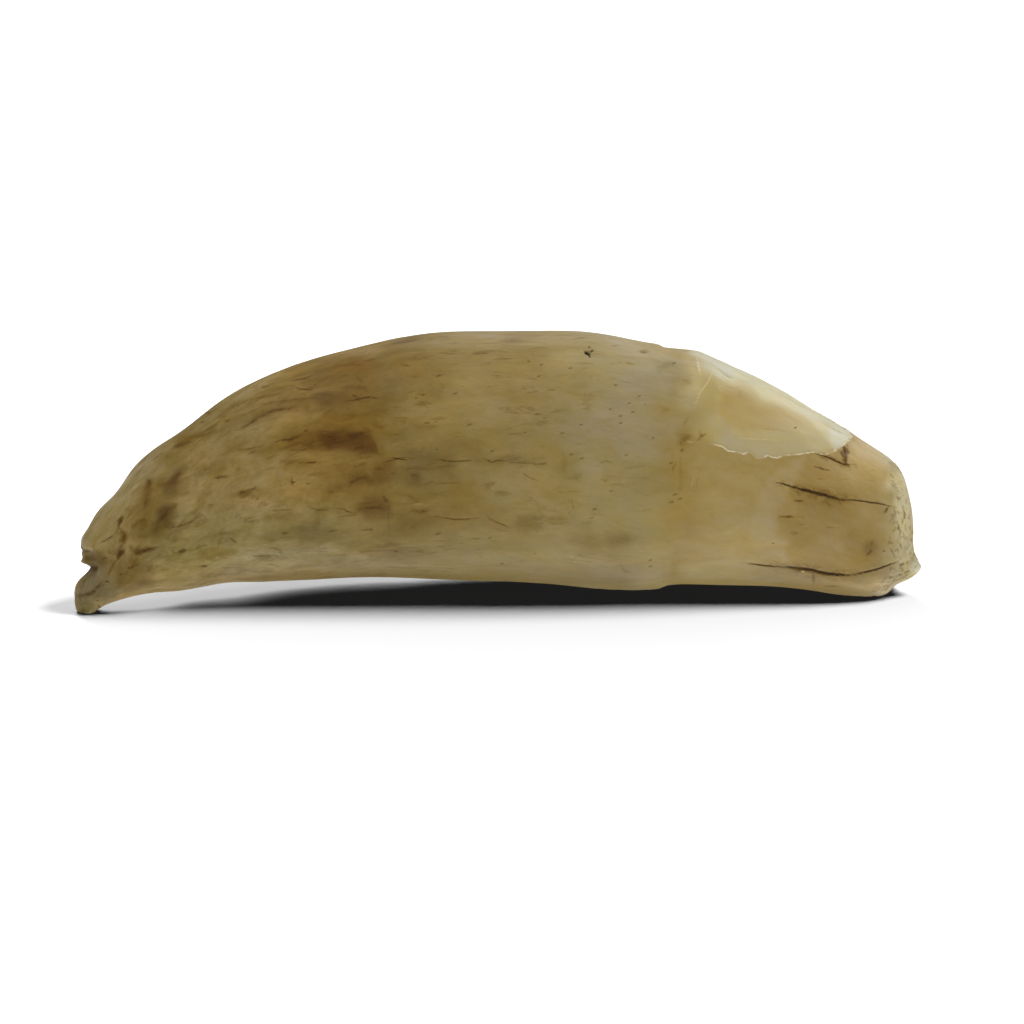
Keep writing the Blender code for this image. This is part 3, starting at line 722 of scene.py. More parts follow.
# stains and dashes that wander: points, half width, strength, ink, softness
FRONT_STAINS = (
    # root
    ((148.5, 479, 150, 487, 148, 494, 145.5, 505), 3.2, 0.42, BROWN, 0.92),
    ((148.5, 479.5, 149.6, 484), 2.0, 0.70, DARK, 0.85),
    ((145.6, 500, 144.8, 505), 2.0, 0.55, DARK, 0.85),
    ((183, 470, 177, 476, 172, 484, 160, 487), 3.4, 0.40, BROWN, 0.92),
    ((178, 474, 174, 481), 2.4, 0.40, DARK, 0.88),
    ((168, 509, 165.6, 514, 161, 519, 156.4, 523), 2.2, 0.62, DARK, 0.84),
    ((166, 528.4, 175, 526.8, 184, 525, 192, 521, 200, 514.6), 1.7, 0.68, DARK, 0.80),
    ((121, 518.6, 118.4, 526, 121, 531, 125, 534.4, 124, 541, 120.4, 548, 118.6, 557), 1.9, 0.66, DARK, 0.86),
    ((120.6, 552, 118.6, 557), 2.5, 0.60, DARK, 0.84),
    ((122.4, 517.6, 119.6, 522), 2.2, 0.55, DARK, 0.85),
    ((130, 526, 138, 522, 144, 519, 147, 523, 143, 531), 2.2, 0.45, BROWN, 0.90),
    ((132, 551, 140, 552.8, 148, 549.6, 160, 547), 2.2, 0.72, DARK, 0.86),
    ((138, 553, 136, 558.6, 132, 566), 1.6, 0.55, BROWN, 0.86),
    ((124, 568.4, 132, 567.4, 138, 564), 1.6, 0.50, DARK, 0.86),
    ((163, 557, 172, 555, 182, 551.6, 190, 549.4, 204, 547, 214, 544.6), 2.1, 0.55, OLIVE, 0.86),
    ((198, 546.6, 206, 545), 2.0, 0.45, DARK, 0.86),
    ((218, 547, 220, 541, 223, 537), 1.8, 0.60, OLIVE, 0.85),
    ((205, 559, 216, 560.4, 230, 556.8), 1.6, 0.50, OLIVE, 0.86),
    ((190, 437.4, 200, 435.8, 210, 433.4, 217.6, 430), 2.2, 0.58, BROWN, 0.86),
    ((174, 447.4, 182, 444.6, 189.6, 441.4), 2.6, 0.75, DARK, 0.84),
    ((149, 463, 158, 456, 169, 449), 1.1, 0.60, BROWN, 0.80),
    ((236.6, 494.8, 245, 491.2, 256, 487.4), 2.1, 0.70, DARK, 0.82),
    ((233, 450.6, 246, 449.4, 262, 446.4), 1.3, 0.60, BROWN, 0.80),
    ((76, 596.4, 84, 594.8, 92, 593, 97, 588, 101, 584.8, 106, 581.6), 2.6, 0.80, DARK, 0.84),
    ((107, 578, 110, 570, 114, 563, 118, 558.6), 1.9, 0.50, DARK, 0.90),
    # left of the middle
    ((240, 428, 250, 421.8, 262, 415.6, 272, 411.2, 282, 408.8, 298, 407.2), 2.7, 0.72, BROWN, 0.86),
    ((242, 428, 250, 423.6, 258, 418.6), 1.8, 0.60, DARK, 0.82),
    ((267, 413.4, 276, 410.2, 287, 408.2), 1.4, 0.60, DARK, 0.78),
    ((256, 405, 270, 402.8, 286, 400.8, 300, 399, 318, 397.2), 1.5, 0.58, BROWN, 0.82),
    ((250, 400.6, 264, 396.4, 280, 393.6), 1.5, 0.58, BROWN, 0.82),
    ((291, 380.4, 304, 379, 312.4, 375.4), 1.2, 0.75, DARK, 0.76),
    ((293, 386, 299, 388.8, 313, 390.2), 1.1, 0.70, DARK, 0.76),
    ((262, 387.4, 268.4, 386.2), 1.7, 0.65, DARK, 0.82),
    ((348, 401, 356, 400, 362, 398, 370, 396.8, 379.6, 398.4), 1.5, 0.80, DARK, 0.78),
    ((351.6, 393.6, 356, 397, 360.6, 401.4), 1.4, 0.62, DARK, 0.80),
    ((357, 387.4, 365, 388.4), 2.3, 0.70, BROWN, 0.86),
    ((357.6, 378, 362.6, 382), 1.8, 0.50, BROWN, 0.88),
    ((342, 366, 352, 364.8, 364, 364.2), 1.4, 0.60, BROWN, 0.82),
    ((276, 441.8, 283, 439.8, 291, 439.8, 298, 436, 303, 434), 1.5, 0.75, DARK, 0.78),
    ((284, 449.8, 300, 450.2, 318, 448.2), 1.3, 0.42, DARK, 0.85),
    ((326, 435, 333, 437.6, 344, 436.8), 1.5, 0.45, DARK, 0.85),
    ((354, 447.6, 366, 446.8, 373, 449), 1.5, 0.40, DARK, 0.86),
    ((371.6, 440, 376, 447, 378.4, 455), 1.3, 0.62, BROWN, 0.80),
    ((309, 506.6, 314, 510, 329, 509.6), 1.3, 0.60, DARK, 0.78),
    ((337, 508.2, 344, 509, 349, 512.8, 359, 513.2), 1.2, 0.65, DARK, 0.76),
    ((360, 508.8, 374, 507.6, 388, 510.4), 1.7, 0.50, DARK, 0.84),
    ((384, 497.4, 387, 501.4), 2.0, 0.60, DARK, 0.82),
    ((267, 510.8, 280, 510.4, 293, 509.4), 1.2, 0.60, BROWN, 0.76),
    ((291.8, 478, 292.4, 485), 1.9, 0.55, DARK, 0.85),
    ((349, 487, 352, 481.6, 366, 477), 2.2, 0.60, DARK, 0.85),
    ((362, 530.6, 368, 529.6, 375, 529.4), 1.3, 0.70, DARK, 0.76),
    ((374.6, 521, 373.8, 531, 374.8, 541), 1.0, 0.42, LILAC, 0.82),
    ((389, 505, 388.2, 520, 389.4, 534), 1.1, 0.36, BROWN, 0.84),
    ((377.6, 510, 377, 522), 1.0, 0.36, LILAC, 0.84),
    # middle
    ((384, 462.6, 394, 459.4, 406, 457.2, 413.4, 458.8), 1.0, 0.72, DARK, 0.72),
    ((427.6, 464.6, 435.6, 463), 1.1, 0.50, BROWN, 0.80),
    ((402, 364.6, 409.4, 366), 1.1, 0.55, DARK, 0.80),
    ((407, 376.4, 421, 377.2), 1.2, 0.45, BROWN, 0.82),
    ((451, 364.4, 458.6, 363.8), 1.0, 0.50, DARK, 0.80),
    ((419, 401, 424, 404, 428.8, 409), 1.0, 0.45, OLIVE, 0.80),
    ((413.6, 510.4, 421, 512, 428, 510.8), 2.4, 0.66, DARK, 0.84),
    ((411.6, 505.6, 420, 503.8, 430, 505.8), 1.7, 0.45, (152, 128, 92), 0.88),
    ((392, 445.4, 398, 443.8), 1.3, 0.45, (156, 138, 104), 0.86),
    ((403, 445.6, 408, 446.2), 1.3, 0.45, (156, 138, 104), 0.86),
    ((520.6, 471.6, 529, 477.6, 538.6, 481), 1.0, 0.62, BROWN, 0.76),
    ((486.6, 515, 490.6, 520, 500, 523.4, 508, 527.2), 1.1, 0.55, BROWN, 0.80),
    ((519.6, 461.6, 532.6, 461), 0.8, 0.42, BROWN, 0.80),
    ((533, 464.6, 545, 463.8), 1.1, 0.50, DARK, 0.80),
    ((411, 474, 418, 476.6), 1.8, 0.40, DARK, 0.88),
    # right of the middle
    ((584.6, 388.6, 585, 399), 1.2, 0.22, LILAC, 0.88),
    ((625.6, 362.4, 634, 364.4), 1.2, 0.50, GREY, 0.82),
    ((681.4, 447, 680.4, 462, 681.6, 478, 679.4, 492), 2.4, 0.20, BROWN, 0.93),
    ((672.6, 452, 673.4, 470), 2.4, 0.14, OLIVE, 0.93),
    ((571.6, 499, 573.4, 509), 1.1, 0.42, OLIVE, 0.84),
    ((563, 455, 566.4, 484), 3.2, 0.22, OLIVE, 0.95),
    ((621, 565, 624, 571, 632, 573.6), 1.2, 0.45, BROWN, 0.84),
    ((572, 560, 577, 557), 1.1, 0.42, OLIVE, 0.84),
    # crown
    ((804, 503, 822, 504, 842, 505.6), 4.5, 0.26, BROWN, 0.97),
    ((812, 572, 814.4, 580, 813, 588), 1.2, 0.48, BROWN, 0.84),
    ((870.6, 547, 872.4, 541), 1.2, 0.50, DARK, 0.84),
    ((757, 428.4, 776, 429.4, 792, 432.6), 0.9, 0.30, AMBER, 0.85),
    ((736, 386, 741, 392, 739, 398), 1.1, 0.30, AMBER, 0.88),
    ((722, 384, 731, 388, 743, 387), 1.5, 0.24, AMBER, 0.90),
    ((697, 359, 698.6, 367, 700.6, 375), 1.1, 0.55, (214, 206, 176), 0.85),
    ((716, 365, 708, 382, 699, 394, 694, 408), 1.0, 0.50, (206, 194, 156), 0.82),
    ((699.6, 431, 701.6, 436, 698, 440), 1.7, 0.55, GREY, 0.84),
    ((687.6, 441.6, 692, 442.4), 1.6, 0.45, (190, 168, 136), 0.85),
    # the worn end
    ((902.6, 508, 904.4, 516, 902, 522), 1.6, 0.60, DARK, 0.86),
    ((898.4, 526, 900.2, 532, 898.6, 538), 1.5, 0.50, DARK, 0.86),
    ((899.4, 543, 901.4, 549), 1.5, 0.50, DARK, 0.86),
    ((893.6, 484, 896.4, 490), 1.3, 0.42, DARK, 0.86),
    ((889.6, 548, 894.4, 556), 1.6, 0.40, DARK, 0.88),
    ((885, 586.6, 892, 582, 899, 577.6, 906, 572.6), 2.0, 0.35, DARK, 0.88),
    ((873.6, 592, 879, 589.4), 1.8, 0.32, DARK, 0.86),
    ((889, 468, 887.4, 480, 888.6, 492), 1.0, 0.30, (196, 178, 128), 0.88),
    ((884.6, 512.4, 887.4, 507.6), 1.9, 0.55, DARK, 0.84),
)

# stains with an edge, with painted shade and sheen where marked: outline on the drawing, softness, colour, strength
FRONT_PATCHES = (
    # root
    ((140, 484, 160, 476, 180, 474, 178, 500, 173, 528, 152, 542, 130, 536, 136, 508), 7, (108, 88, 44), 0.62),
    ((157, 486, 168, 478, 174, 471, 187, 468.6, 182, 480, 178, 488, 166, 491), 5, (90, 68, 26), 0.70),
    ((158, 509, 166, 505, 174, 505, 172, 515, 169, 521, 161, 522, 153.6, 523, 158, 516), 5, (76, 55, 18), 0.72),
    ((152, 526, 160, 524, 167, 526, 162, 533, 152, 536), 3, (102, 78, 38), 0.65),
    ((145.4, 480, 151.6, 478, 152, 490, 151.4, 503, 144, 507, 144.6, 492), 4.0, (94, 74, 32), 0.65),
    ((140, 521, 146, 520, 145.6, 527, 140.4, 528.4), 2, (98, 80, 38), 0.6),
    ((119, 518, 123.6, 518.6, 122.6, 524.4, 118.4, 524), 2.4, (82, 64, 28), 0.8),
    ((120, 533, 126.4, 532.6, 126, 540, 121.4, 541), 2.6, (86, 68, 34), 0.75),
    ((117.4, 552, 121, 549.6, 123.8, 552, 121, 558.6, 117.6, 558.8), 2.4, (66, 48, 20), 0.85),
    ((112, 561, 116, 560.4, 116, 566, 112.6, 567), 1.8, (88, 72, 40), 0.65),
    ((131, 546.6, 140, 548.6, 151, 546.4, 150, 551.4, 140, 553, 130, 552), 2.8, (86, 66, 30), 0.75),
    ((130, 560, 138, 559, 140, 566, 131, 568), 2.6, (98, 80, 44), 0.65),
    ((178, 549, 183.6, 548.4, 183.4, 552.8, 178.4, 553.4), 1.6, (84, 60, 24), 0.75),
    ((110, 548, 123, 545, 130, 556, 148, 562, 152, 584, 126, 590, 114, 580), 6, (108, 90, 52), 0.50),
    ((163, 455, 180, 452, 178, 466, 164, 470), 4, (114, 96, 42), 0.5),
    ((172, 448, 178, 437, 198, 430.6, 214, 428, 208, 436, 190, 443, 180, 449), 3, (106, 84, 38), 0.55),
    # darker under the upper lobe of the root: its own brown, with painted shade of the hollow
    ((82, 551, 90, 549, 104, 555, 108, 563, 98, 568, 90, 567, 84, 562), 3.4, (94, 78, 50), 0.60),
    ((86, 571, 104, 567, 113, 578, 110, 590, 97, 594, 78, 597, 79, 586), 3.5, (114, 103, 74), 0.72),
    ((101, 588, 112, 582, 120, 592, 108, 604, 98, 600), 6, (112, 102, 72), 0.65),
    ((79, 600, 88, 598, 96, 603, 95, 613, 84, 613), 3, (118, 108, 66), 0.6),
    ((94, 516, 116, 498, 138, 472, 144, 480, 130, 518, 108, 536, 92, 534), 6, (138, 122, 80), 0.6),
    ((184, 452, 214, 442, 226, 452, 208, 466, 188, 462), 4, (146, 124, 78), 0.5),
    ((196, 478, 214, 474, 216, 486, 199, 489), 4, (144, 124, 78), 0.4),
    ((186, 498, 226, 492, 230, 514, 192, 520), 5, (140, 122, 76), 0.45),
    ((152, 566, 190, 560, 196, 588, 156, 590), 5, (134, 118, 72), 0.5),
    ((198, 549, 222, 546, 238, 550, 236, 556, 210, 557, 199, 555), 2.4, (108, 92, 50), 0.5),
    ((226, 458, 250, 453, 252, 470, 228, 474), 4, (142, 124, 80), 0.4),
    ((236, 494, 244, 490.4, 250, 491, 249, 496, 238, 499), 1.8, (92, 72, 32), 0.6),
    # left of the middle
    ((318, 432.6, 330, 430, 352, 430.6, 370, 433, 374, 440, 379, 454, 372, 455.6, 350, 451, 319, 449.5), 3.3, (84, 60, 24), 0.80),
    ((285, 438, 296, 432.6, 322, 430, 323, 450, 302, 451.4, 288, 448), 3.9, (100, 78, 36), 0.66),
    ((250, 450, 272, 444, 288, 446, 292, 452, 268, 456), 5.1, (108, 90, 46), 0.45),
    ((322, 410, 382, 410, 382, 431, 322, 430), 5.1, (112, 88, 38), 0.5),
    ((330, 457, 378, 458, 376, 474, 334, 472), 6.6, (116, 94, 50), 0.4),
    ((312, 399, 321, 392, 342, 393, 354, 398, 344, 405, 330, 409.6, 320, 404), 4.2, (96, 74, 38), 0.66),
    ((313, 371, 322, 367.6, 336, 370, 330, 377, 314, 378), 4.2, (102, 83, 48), 0.5),
    ((337, 361, 372, 357, 382, 366, 366, 373, 341, 369), 5.8, (116, 88, 36), 0.55),
    ((374, 463, 393, 458, 396, 474, 390, 488, 373, 484), 4.5, (96, 72, 26), 0.66),
    ((356, 507, 364, 499, 387, 496, 391, 506, 390, 517, 366, 517, 356, 512), 3.9, (90, 68, 26), 0.74),
    ((258, 536, 276, 528, 300, 527, 318, 524, 335, 529, 340, 537, 318, 541, 300, 540, 262, 539), 4.2, (104, 88, 48), 0.62),
    ((349, 476, 367, 473.6, 371, 480, 354, 485.6, 346, 482), 3.6, (88, 68, 28), 0.66),
    ((330, 483, 352, 479, 353, 491, 330, 493), 4.5, (108, 88, 50), 0.45),
    ((332, 555, 346, 556, 346, 566, 333, 567), 4.2, (118, 100, 58), 0.5),
    ((254, 556, 266, 554, 276, 553, 270, 559, 256, 559), 3.6, (104, 88, 46), 0.5),
    ((258, 455, 282, 452, 280, 478, 262, 480), 5.1, (146, 128, 84), 0.45),
    ((262, 422, 284, 414, 308, 416, 302, 428, 270, 434), 5.1, (138, 117, 66), 0.5),
    ((246, 400, 262, 394, 284, 388, 290, 398, 266, 404, 250, 408), 5.1, (126, 104, 54), 0.4),
    ((262, 404, 300, 398, 318, 399, 314, 408, 280, 409, 262, 414), 4.2, (112, 90, 44), 0.5),
    ((300, 452, 322, 450, 372, 457, 370, 463, 322, 460, 300, 460), 4.2, (132, 112, 66), 0.4),
    # middle
    ((409, 470, 420, 470, 421, 483, 409, 484), 3.3, (86, 66, 34), 0.70),
    ((392, 464, 452, 458, 456, 476, 430, 487, 394, 488), 9.6, (104, 86, 50), 0.55),
    ((386, 487, 470, 487, 472, 500, 390, 502), 6.6, (120, 100, 48), 0.45),
    ((404, 508, 428, 506, 436, 522, 430, 533, 400, 532, 396, 514), 5.7, (110, 90, 46), 0.45),
    ((383, 506, 400, 510, 402, 546, 384, 546), 5.7, (108, 93, 56), 0.42),
    ((440, 474, 460, 474, 462, 485, 440, 486), 5.1, (112, 94, 52), 0.4),
    ((516, 516, 540, 514, 541.5, 528, 520, 529, 514, 523), 3.9, (108, 90, 46), 0.60),
    ((545, 518, 566, 517, 568, 521, 546, 522), 3.3, (112, 92, 48), 0.5),
    ((396, 357, 424, 357, 427, 376, 404, 379, 394, 370), 9.6, (132, 106, 48), 0.40),
    ((504, 396, 530, 391, 548, 396, 540, 408, 510, 409), 6.6, (128, 106, 52), 0.4),
    ((500, 338, 520, 336, 522, 343, 504, 345), 3.9, (122, 98, 52), 0.5),
    ((392, 343, 404, 341, 420, 336, 422, 339, 406, 344), 3.0, (96, 78, 44), 0.6),
    ((430, 388, 460, 386, 470, 394, 446, 400, 430, 398), 6.6, (122, 104, 68), 0.35),
    ((436, 440, 480, 438, 486, 457, 440, 457), 6.6, (122, 100, 50), 0.45),
    # right of the middle
    ((606, 537, 630, 535, 633, 547, 612, 549.5), 4.2, (114, 94, 52), 0.60),
    ((584, 541, 600, 540, 602, 549, 586, 549), 5.1, (124, 104, 60), 0.45),
    ((678, 376, 690, 374, 692, 384, 684, 389, 678, 386), 6.6, (138, 116, 66), 0.45),
    ((677, 432, 689, 428, 692, 442, 684, 450, 676, 446), 6.6, (126, 104, 56), 0.58),
    ((670, 452, 684, 446, 690, 454, 688, 488, 673, 492), 9.6, (136, 114, 64), 0.42),
    ((652, 405, 668, 403, 672, 422, 656, 425), 9.6, (142, 122, 76), 0.35),
    ((664, 545, 681, 540, 683, 590, 664, 590), 11.1, (144, 124, 76), 0.35),
    ((654, 360, 672, 357, 676, 368, 658, 373), 5.1, (128, 116, 84), 0.5),
    # greyer, paler patch high on the right of the middle: partly the cementum's own tone, partly painted sheen
    ((604, 374, 656, 376, 650, 400, 606, 400), 9.6, (144, 133, 101), 0.45),
    ((555, 455, 578, 455, 580, 488, 558, 490), 8.1, (126, 110, 62), 0.4),
    ((642, 556, 660, 556, 660, 590, 640, 590), 6.6, (154, 138, 96), 0.45),
    # crown
    ((806, 459, 797, 478, 789, 492, 777, 514, 776, 534, 788, 545, 786, 563, 840, 572, 872, 566, 886, 548,
      885, 512, 878, 492, 852, 478, 822, 461), 3.5, (148, 126, 76), 0.36),
    ((806, 464, 799, 482, 792, 496, 784, 514, 784, 530, 796, 540, 830, 536, 858, 520, 864, 500, 846, 484,
      824, 468), 9, (140, 117, 64), 0.42),
    ((792, 461, 805, 457, 796, 478, 787, 492, 776, 514, 775, 532, 788, 545, 785, 560, 760, 556, 750, 530,
      760, 490, 776, 470), 4, (162, 145, 106), 0.5),
    ((838, 532, 868, 522, 886, 540, 882, 558, 850, 566), 6, (138, 115, 64), 0.5),
    ((861, 549, 868, 541, 875, 539, 877, 548, 872, 556, 865, 559), 3.4, (108, 84, 46), 0.50),
    ((852, 442, 868, 444, 884, 462, 880, 480, 864, 476, 854, 462), 9, (170, 148, 98), 0.4),
    ((841, 449, 847, 446, 850, 451, 847, 456, 846, 462, 849, 466, 843, 465, 842.6, 457), 1.6, (88, 62, 26), 0.8),
)

# milky and amber parts of the flake, one partly painted highlight where marked, the same
FLAKE_PATCHES = (
    ((684, 348, 704, 350, 740, 364, 780, 382, 820, 404, 856, 432, 846, 436, 818, 418, 800, 408, 776, 398, 754, 388,
      742, 381, 722, 379, 706, 372, 692, 362), 3.4, (174, 171, 142), 0.80),
    ((752, 384, 774, 388, 800, 400, 816, 412, 830, 428, 838, 442, 831, 449, 822, 436, 812, 422, 800, 413,
      784, 406, 762, 400), 3.0, (186, 176, 138), 0.75),
    # whitest corner of the flake: partly its milky layer, partly painted highlight where light shows through the thin
    # edge
    ((829, 426, 842, 430, 856, 438, 846, 452, 834, 452, 832, 440), 2.4, (184, 180, 156), 0.80),
    ((726, 375, 740, 374, 748, 379, 738, 381), 2.4, (182, 170, 118), 0.5),
    ((690, 358, 712, 358, 716, 372, 700, 376, 692, 372), 4, (172, 158, 126), 0.5),
    ((724, 388, 752, 394, 756, 405, 780, 407, 800, 418, 803, 430, 780, 428, 750, 431, 726, 428, 716, 408), 5, (160, 137, 85), 0.66),
    ((700, 386, 718, 384, 716, 414, 704, 420), 4, (152, 136, 84), 0.5),
    ((726, 437.6, 746, 436.6, 777, 441, 806, 444, 812, 458, 760, 462, 722, 452), 2.2, (164, 152, 116), 0.55),
    ((803, 432, 828, 430, 830, 448, 812, 456, 800, 452), 4, (172, 160, 122), 0.6),
    ((722, 420, 732, 424, 734, 434, 720, 436, 712, 428), 4, (160, 146, 112), 0.5),
    ((753, 448, 772, 446, 770, 456, 758, 458), 2, (172, 162, 132), 0.5),
    ((720, 392, 742, 386, 748, 392, 744, 402, 724, 404), 4.6, (152, 126, 74), 0.4),
)

# soft patches of the base tone on the drawing, with painted light, shade and sheen where marked: middle, half widths,
# tilt, colour, strength
FRONT_TONES = (
    # painted light: lighter along the upper left outline, where the surface turns up and away
    (112, 500, 46, 17, -48, (157, 141, 98), 0.9),
    (128, 474, 26, 9, -52, (162, 146, 106), 0.8),
    (165, 442, 24, 7, -38, (152, 134, 92), 0.7),
    (208, 424, 24, 7, -34, (143, 125, 82), 0.6),
    (362, 350, 40, 6, -14, (148, 128, 84), 0.6),
    # paler high up: partly the ivory's own tone, partly painted sheen
    (562, 360, 22, 14, 0, (164, 148, 108), 0.6),
    (430, 462, 26, 14, 0, (112, 94, 58), 0.7),
    (894, 482, 10, 18, 60, (192, 176, 136), 0.7),
    (96, 538, 14, 10, -30, (140, 125, 82), 0.7),
    # painted light: lighter near the upper left outline, where the surface turns up and away
    (150, 470, 20, 10, -40, (140, 124, 88), 0.5),
    (150, 520, 26, 30, 0, (122, 101, 56), 0.55),
    (205, 500, 46, 26, -10, (138, 119, 76), 0.55),
    (205, 560, 60, 16, -4, (138, 121, 72), 0.65),
    (134, 574, 24, 16, -20, (104, 86, 50), 0.7),
    (90, 588, 12, 18, 20, (113, 101, 73), 0.85),
    (106, 592, 12, 10, 0, (110, 99, 69), 0.7),
    (89, 606, 11, 7, 0, (112, 102, 64), 0.8),
    # darker in the hollow under the upper lobe: the root's own brown, with painted shade
    (98, 562, 15, 10, 20, (102, 86, 54), 0.7),
    (110, 538, 12, 10, 0, (128, 112, 70), 0.6),
    (262, 420, 60, 14, -22, (118, 98, 54), 0.4),
    (290, 480, 40, 12, -3, (142, 124, 82), 0.55),
    (290, 505, 44, 9, -3, (144, 127, 84), 0.5),
    (340, 440, 44, 14, -1, (96, 74, 36), 0.42),
    (345, 480, 34, 22, -3, (114, 92, 50), 0.5),
    (300, 560, 80, 12, -2, (142, 126, 84), 0.65),
    (330, 390, 50, 20, -14, (120, 97, 54), 0.45),
    (420, 430, 34, 44, 0, (140, 120, 74), 0.5),
    (452, 488, 44, 14, 0, (120, 102, 62), 0.4),
    (500, 460, 40, 6, 0, (112, 94, 60), 0.45),
    (480, 400, 70, 30, 0, (148, 129, 86), 0.55),
    (500, 550, 90, 18, 0, (144, 129, 84), 0.6),
    # greyer, paler zone high on the right of the middle: partly the cementum's own tone, partly painted sheen
    (620, 412, 60, 52, 0, (152, 138, 104), 0.75),
    (600, 450, 40, 24, 0, (146, 132, 98), 0.5),
    (620, 520, 40, 26, 0, (148, 132, 88), 0.5),
    (650, 384, 24, 20, 0, (150, 137, 104), 0.5),
    (692, 384, 16, 26, 0, (184, 168, 122), 0.65),
    (696, 424, 10, 16, 0, (154, 136, 90), 0.5),
    (684, 520, 14, 50, 0, (142, 121, 74), 0.45),
    (720, 480, 30, 20, 0, (150, 130, 84), 0.6),
    (744, 545, 40, 36, 0, (158, 140, 96), 0.7),
    # painted light: this and the next two patches are lighter along the bottom edge, standing in for light on the
    # underside
    (700, 572, 30, 12, 0, (162, 145, 100), 0.6),
    (654, 580, 26, 8, 0, (168, 152, 112), 0.6),
    (400, 568, 90, 7, 0, (146, 130, 88), 0.55),
    (112, 590, 20, 8, -20, (104, 92, 62), 0.5),
    (134, 584, 20, 8, -10, (98, 80, 46), 0.6),
    (250, 388, 40, 7, -26, (156, 138, 94), 0.7),
    (800, 510, 30, 16, 0, (150, 128, 82), 0.6),
    (845, 540, 36, 22, 0, (154, 135, 90), 0.6),
    (830, 478, 40, 12, 10, (170, 148, 98), 0.6),
    (866, 462, 26, 18, 40, (182, 160, 108), 0.6),
    (830, 590, 60, 10, 0, (142, 122, 78), 0.5),
    (450, 512, 62, 22, 0, (122, 103, 58), 0.6),
    (440, 545, 90, 13, 0, (126, 109, 66), 0.55),
    (520, 542, 50, 12, 0, (134, 118, 74), 0.5),
    (600, 541, 40, 13, 0, (130, 112, 70), 0.6),
    (545, 541, 30, 12, 0, (138, 119, 76), 0.5),
    (330, 505, 40, 12, 0, (124, 106, 62), 0.5),
    (400, 545, 40, 16, 0, (122, 104, 62), 0.5),
    (240, 572, 60, 8, 0, (128, 112, 70), 0.5),
    (250, 418, 26, 6, -26, (108, 86, 42), 0.6),
    (350, 378, 40, 14, -10, (118, 95, 48), 0.5),
    (655, 478, 20, 24, 0, (138, 120, 74), 0.5),
    (902, 510, 10, 44, 0, (184, 169, 130), 0.9),
    (904, 552, 12, 10, 0, (166, 152, 114), 0.8),
    (890, 586, 20, 11, -30, (176, 162, 124), 0.85),
    (421, 456, 26, 10, 0, (106, 88, 52), 0.6),
    (345, 378, 36, 22, 0, (106, 84, 40), 0.5),
    (420, 392, 26, 14, 0, (126, 106, 58), 0.45),
    (822, 494, 34, 12, 8, (126, 104, 64), 0.55),
    (868, 573, 40, 12, 0, (120, 103, 66), 0.6),
    (520, 338, 26, 6, 0, (122, 98, 52), 0.5),
    (235, 434, 40, 12, -20, (140, 122, 76), 0.5),
    (150, 456, 26, 10, -42, (148, 132, 92), 0.5),
    # paler along the top: partly the cementum's own tone, partly painted sheen
    (625, 362, 60, 16, 8, (160, 148, 114), 0.5),
    (499, 496, 14, 10, 0, (140, 128, 92), 0.5),
    (687, 402, 14, 16, 0, (162, 148, 110), 0.5),
    (600, 575, 70, 11, 0, (130, 114, 74), 0.5),
    (800, 573, 60, 10, 0, (132, 114, 74), 0.5),
    (898, 579, 15, 10, -40, (146, 132, 98), 0.6),
    (808, 566, 36, 8, 0, (120, 102, 64), 0.45),
    (152, 553, 16, 8, 0, (106, 88, 50), 0.4),
    (172, 582, 36, 8, -12, (112, 96, 58), 0.5),
    (919, 566, 7, 9, 0, (180, 172, 146), 0.85),
)


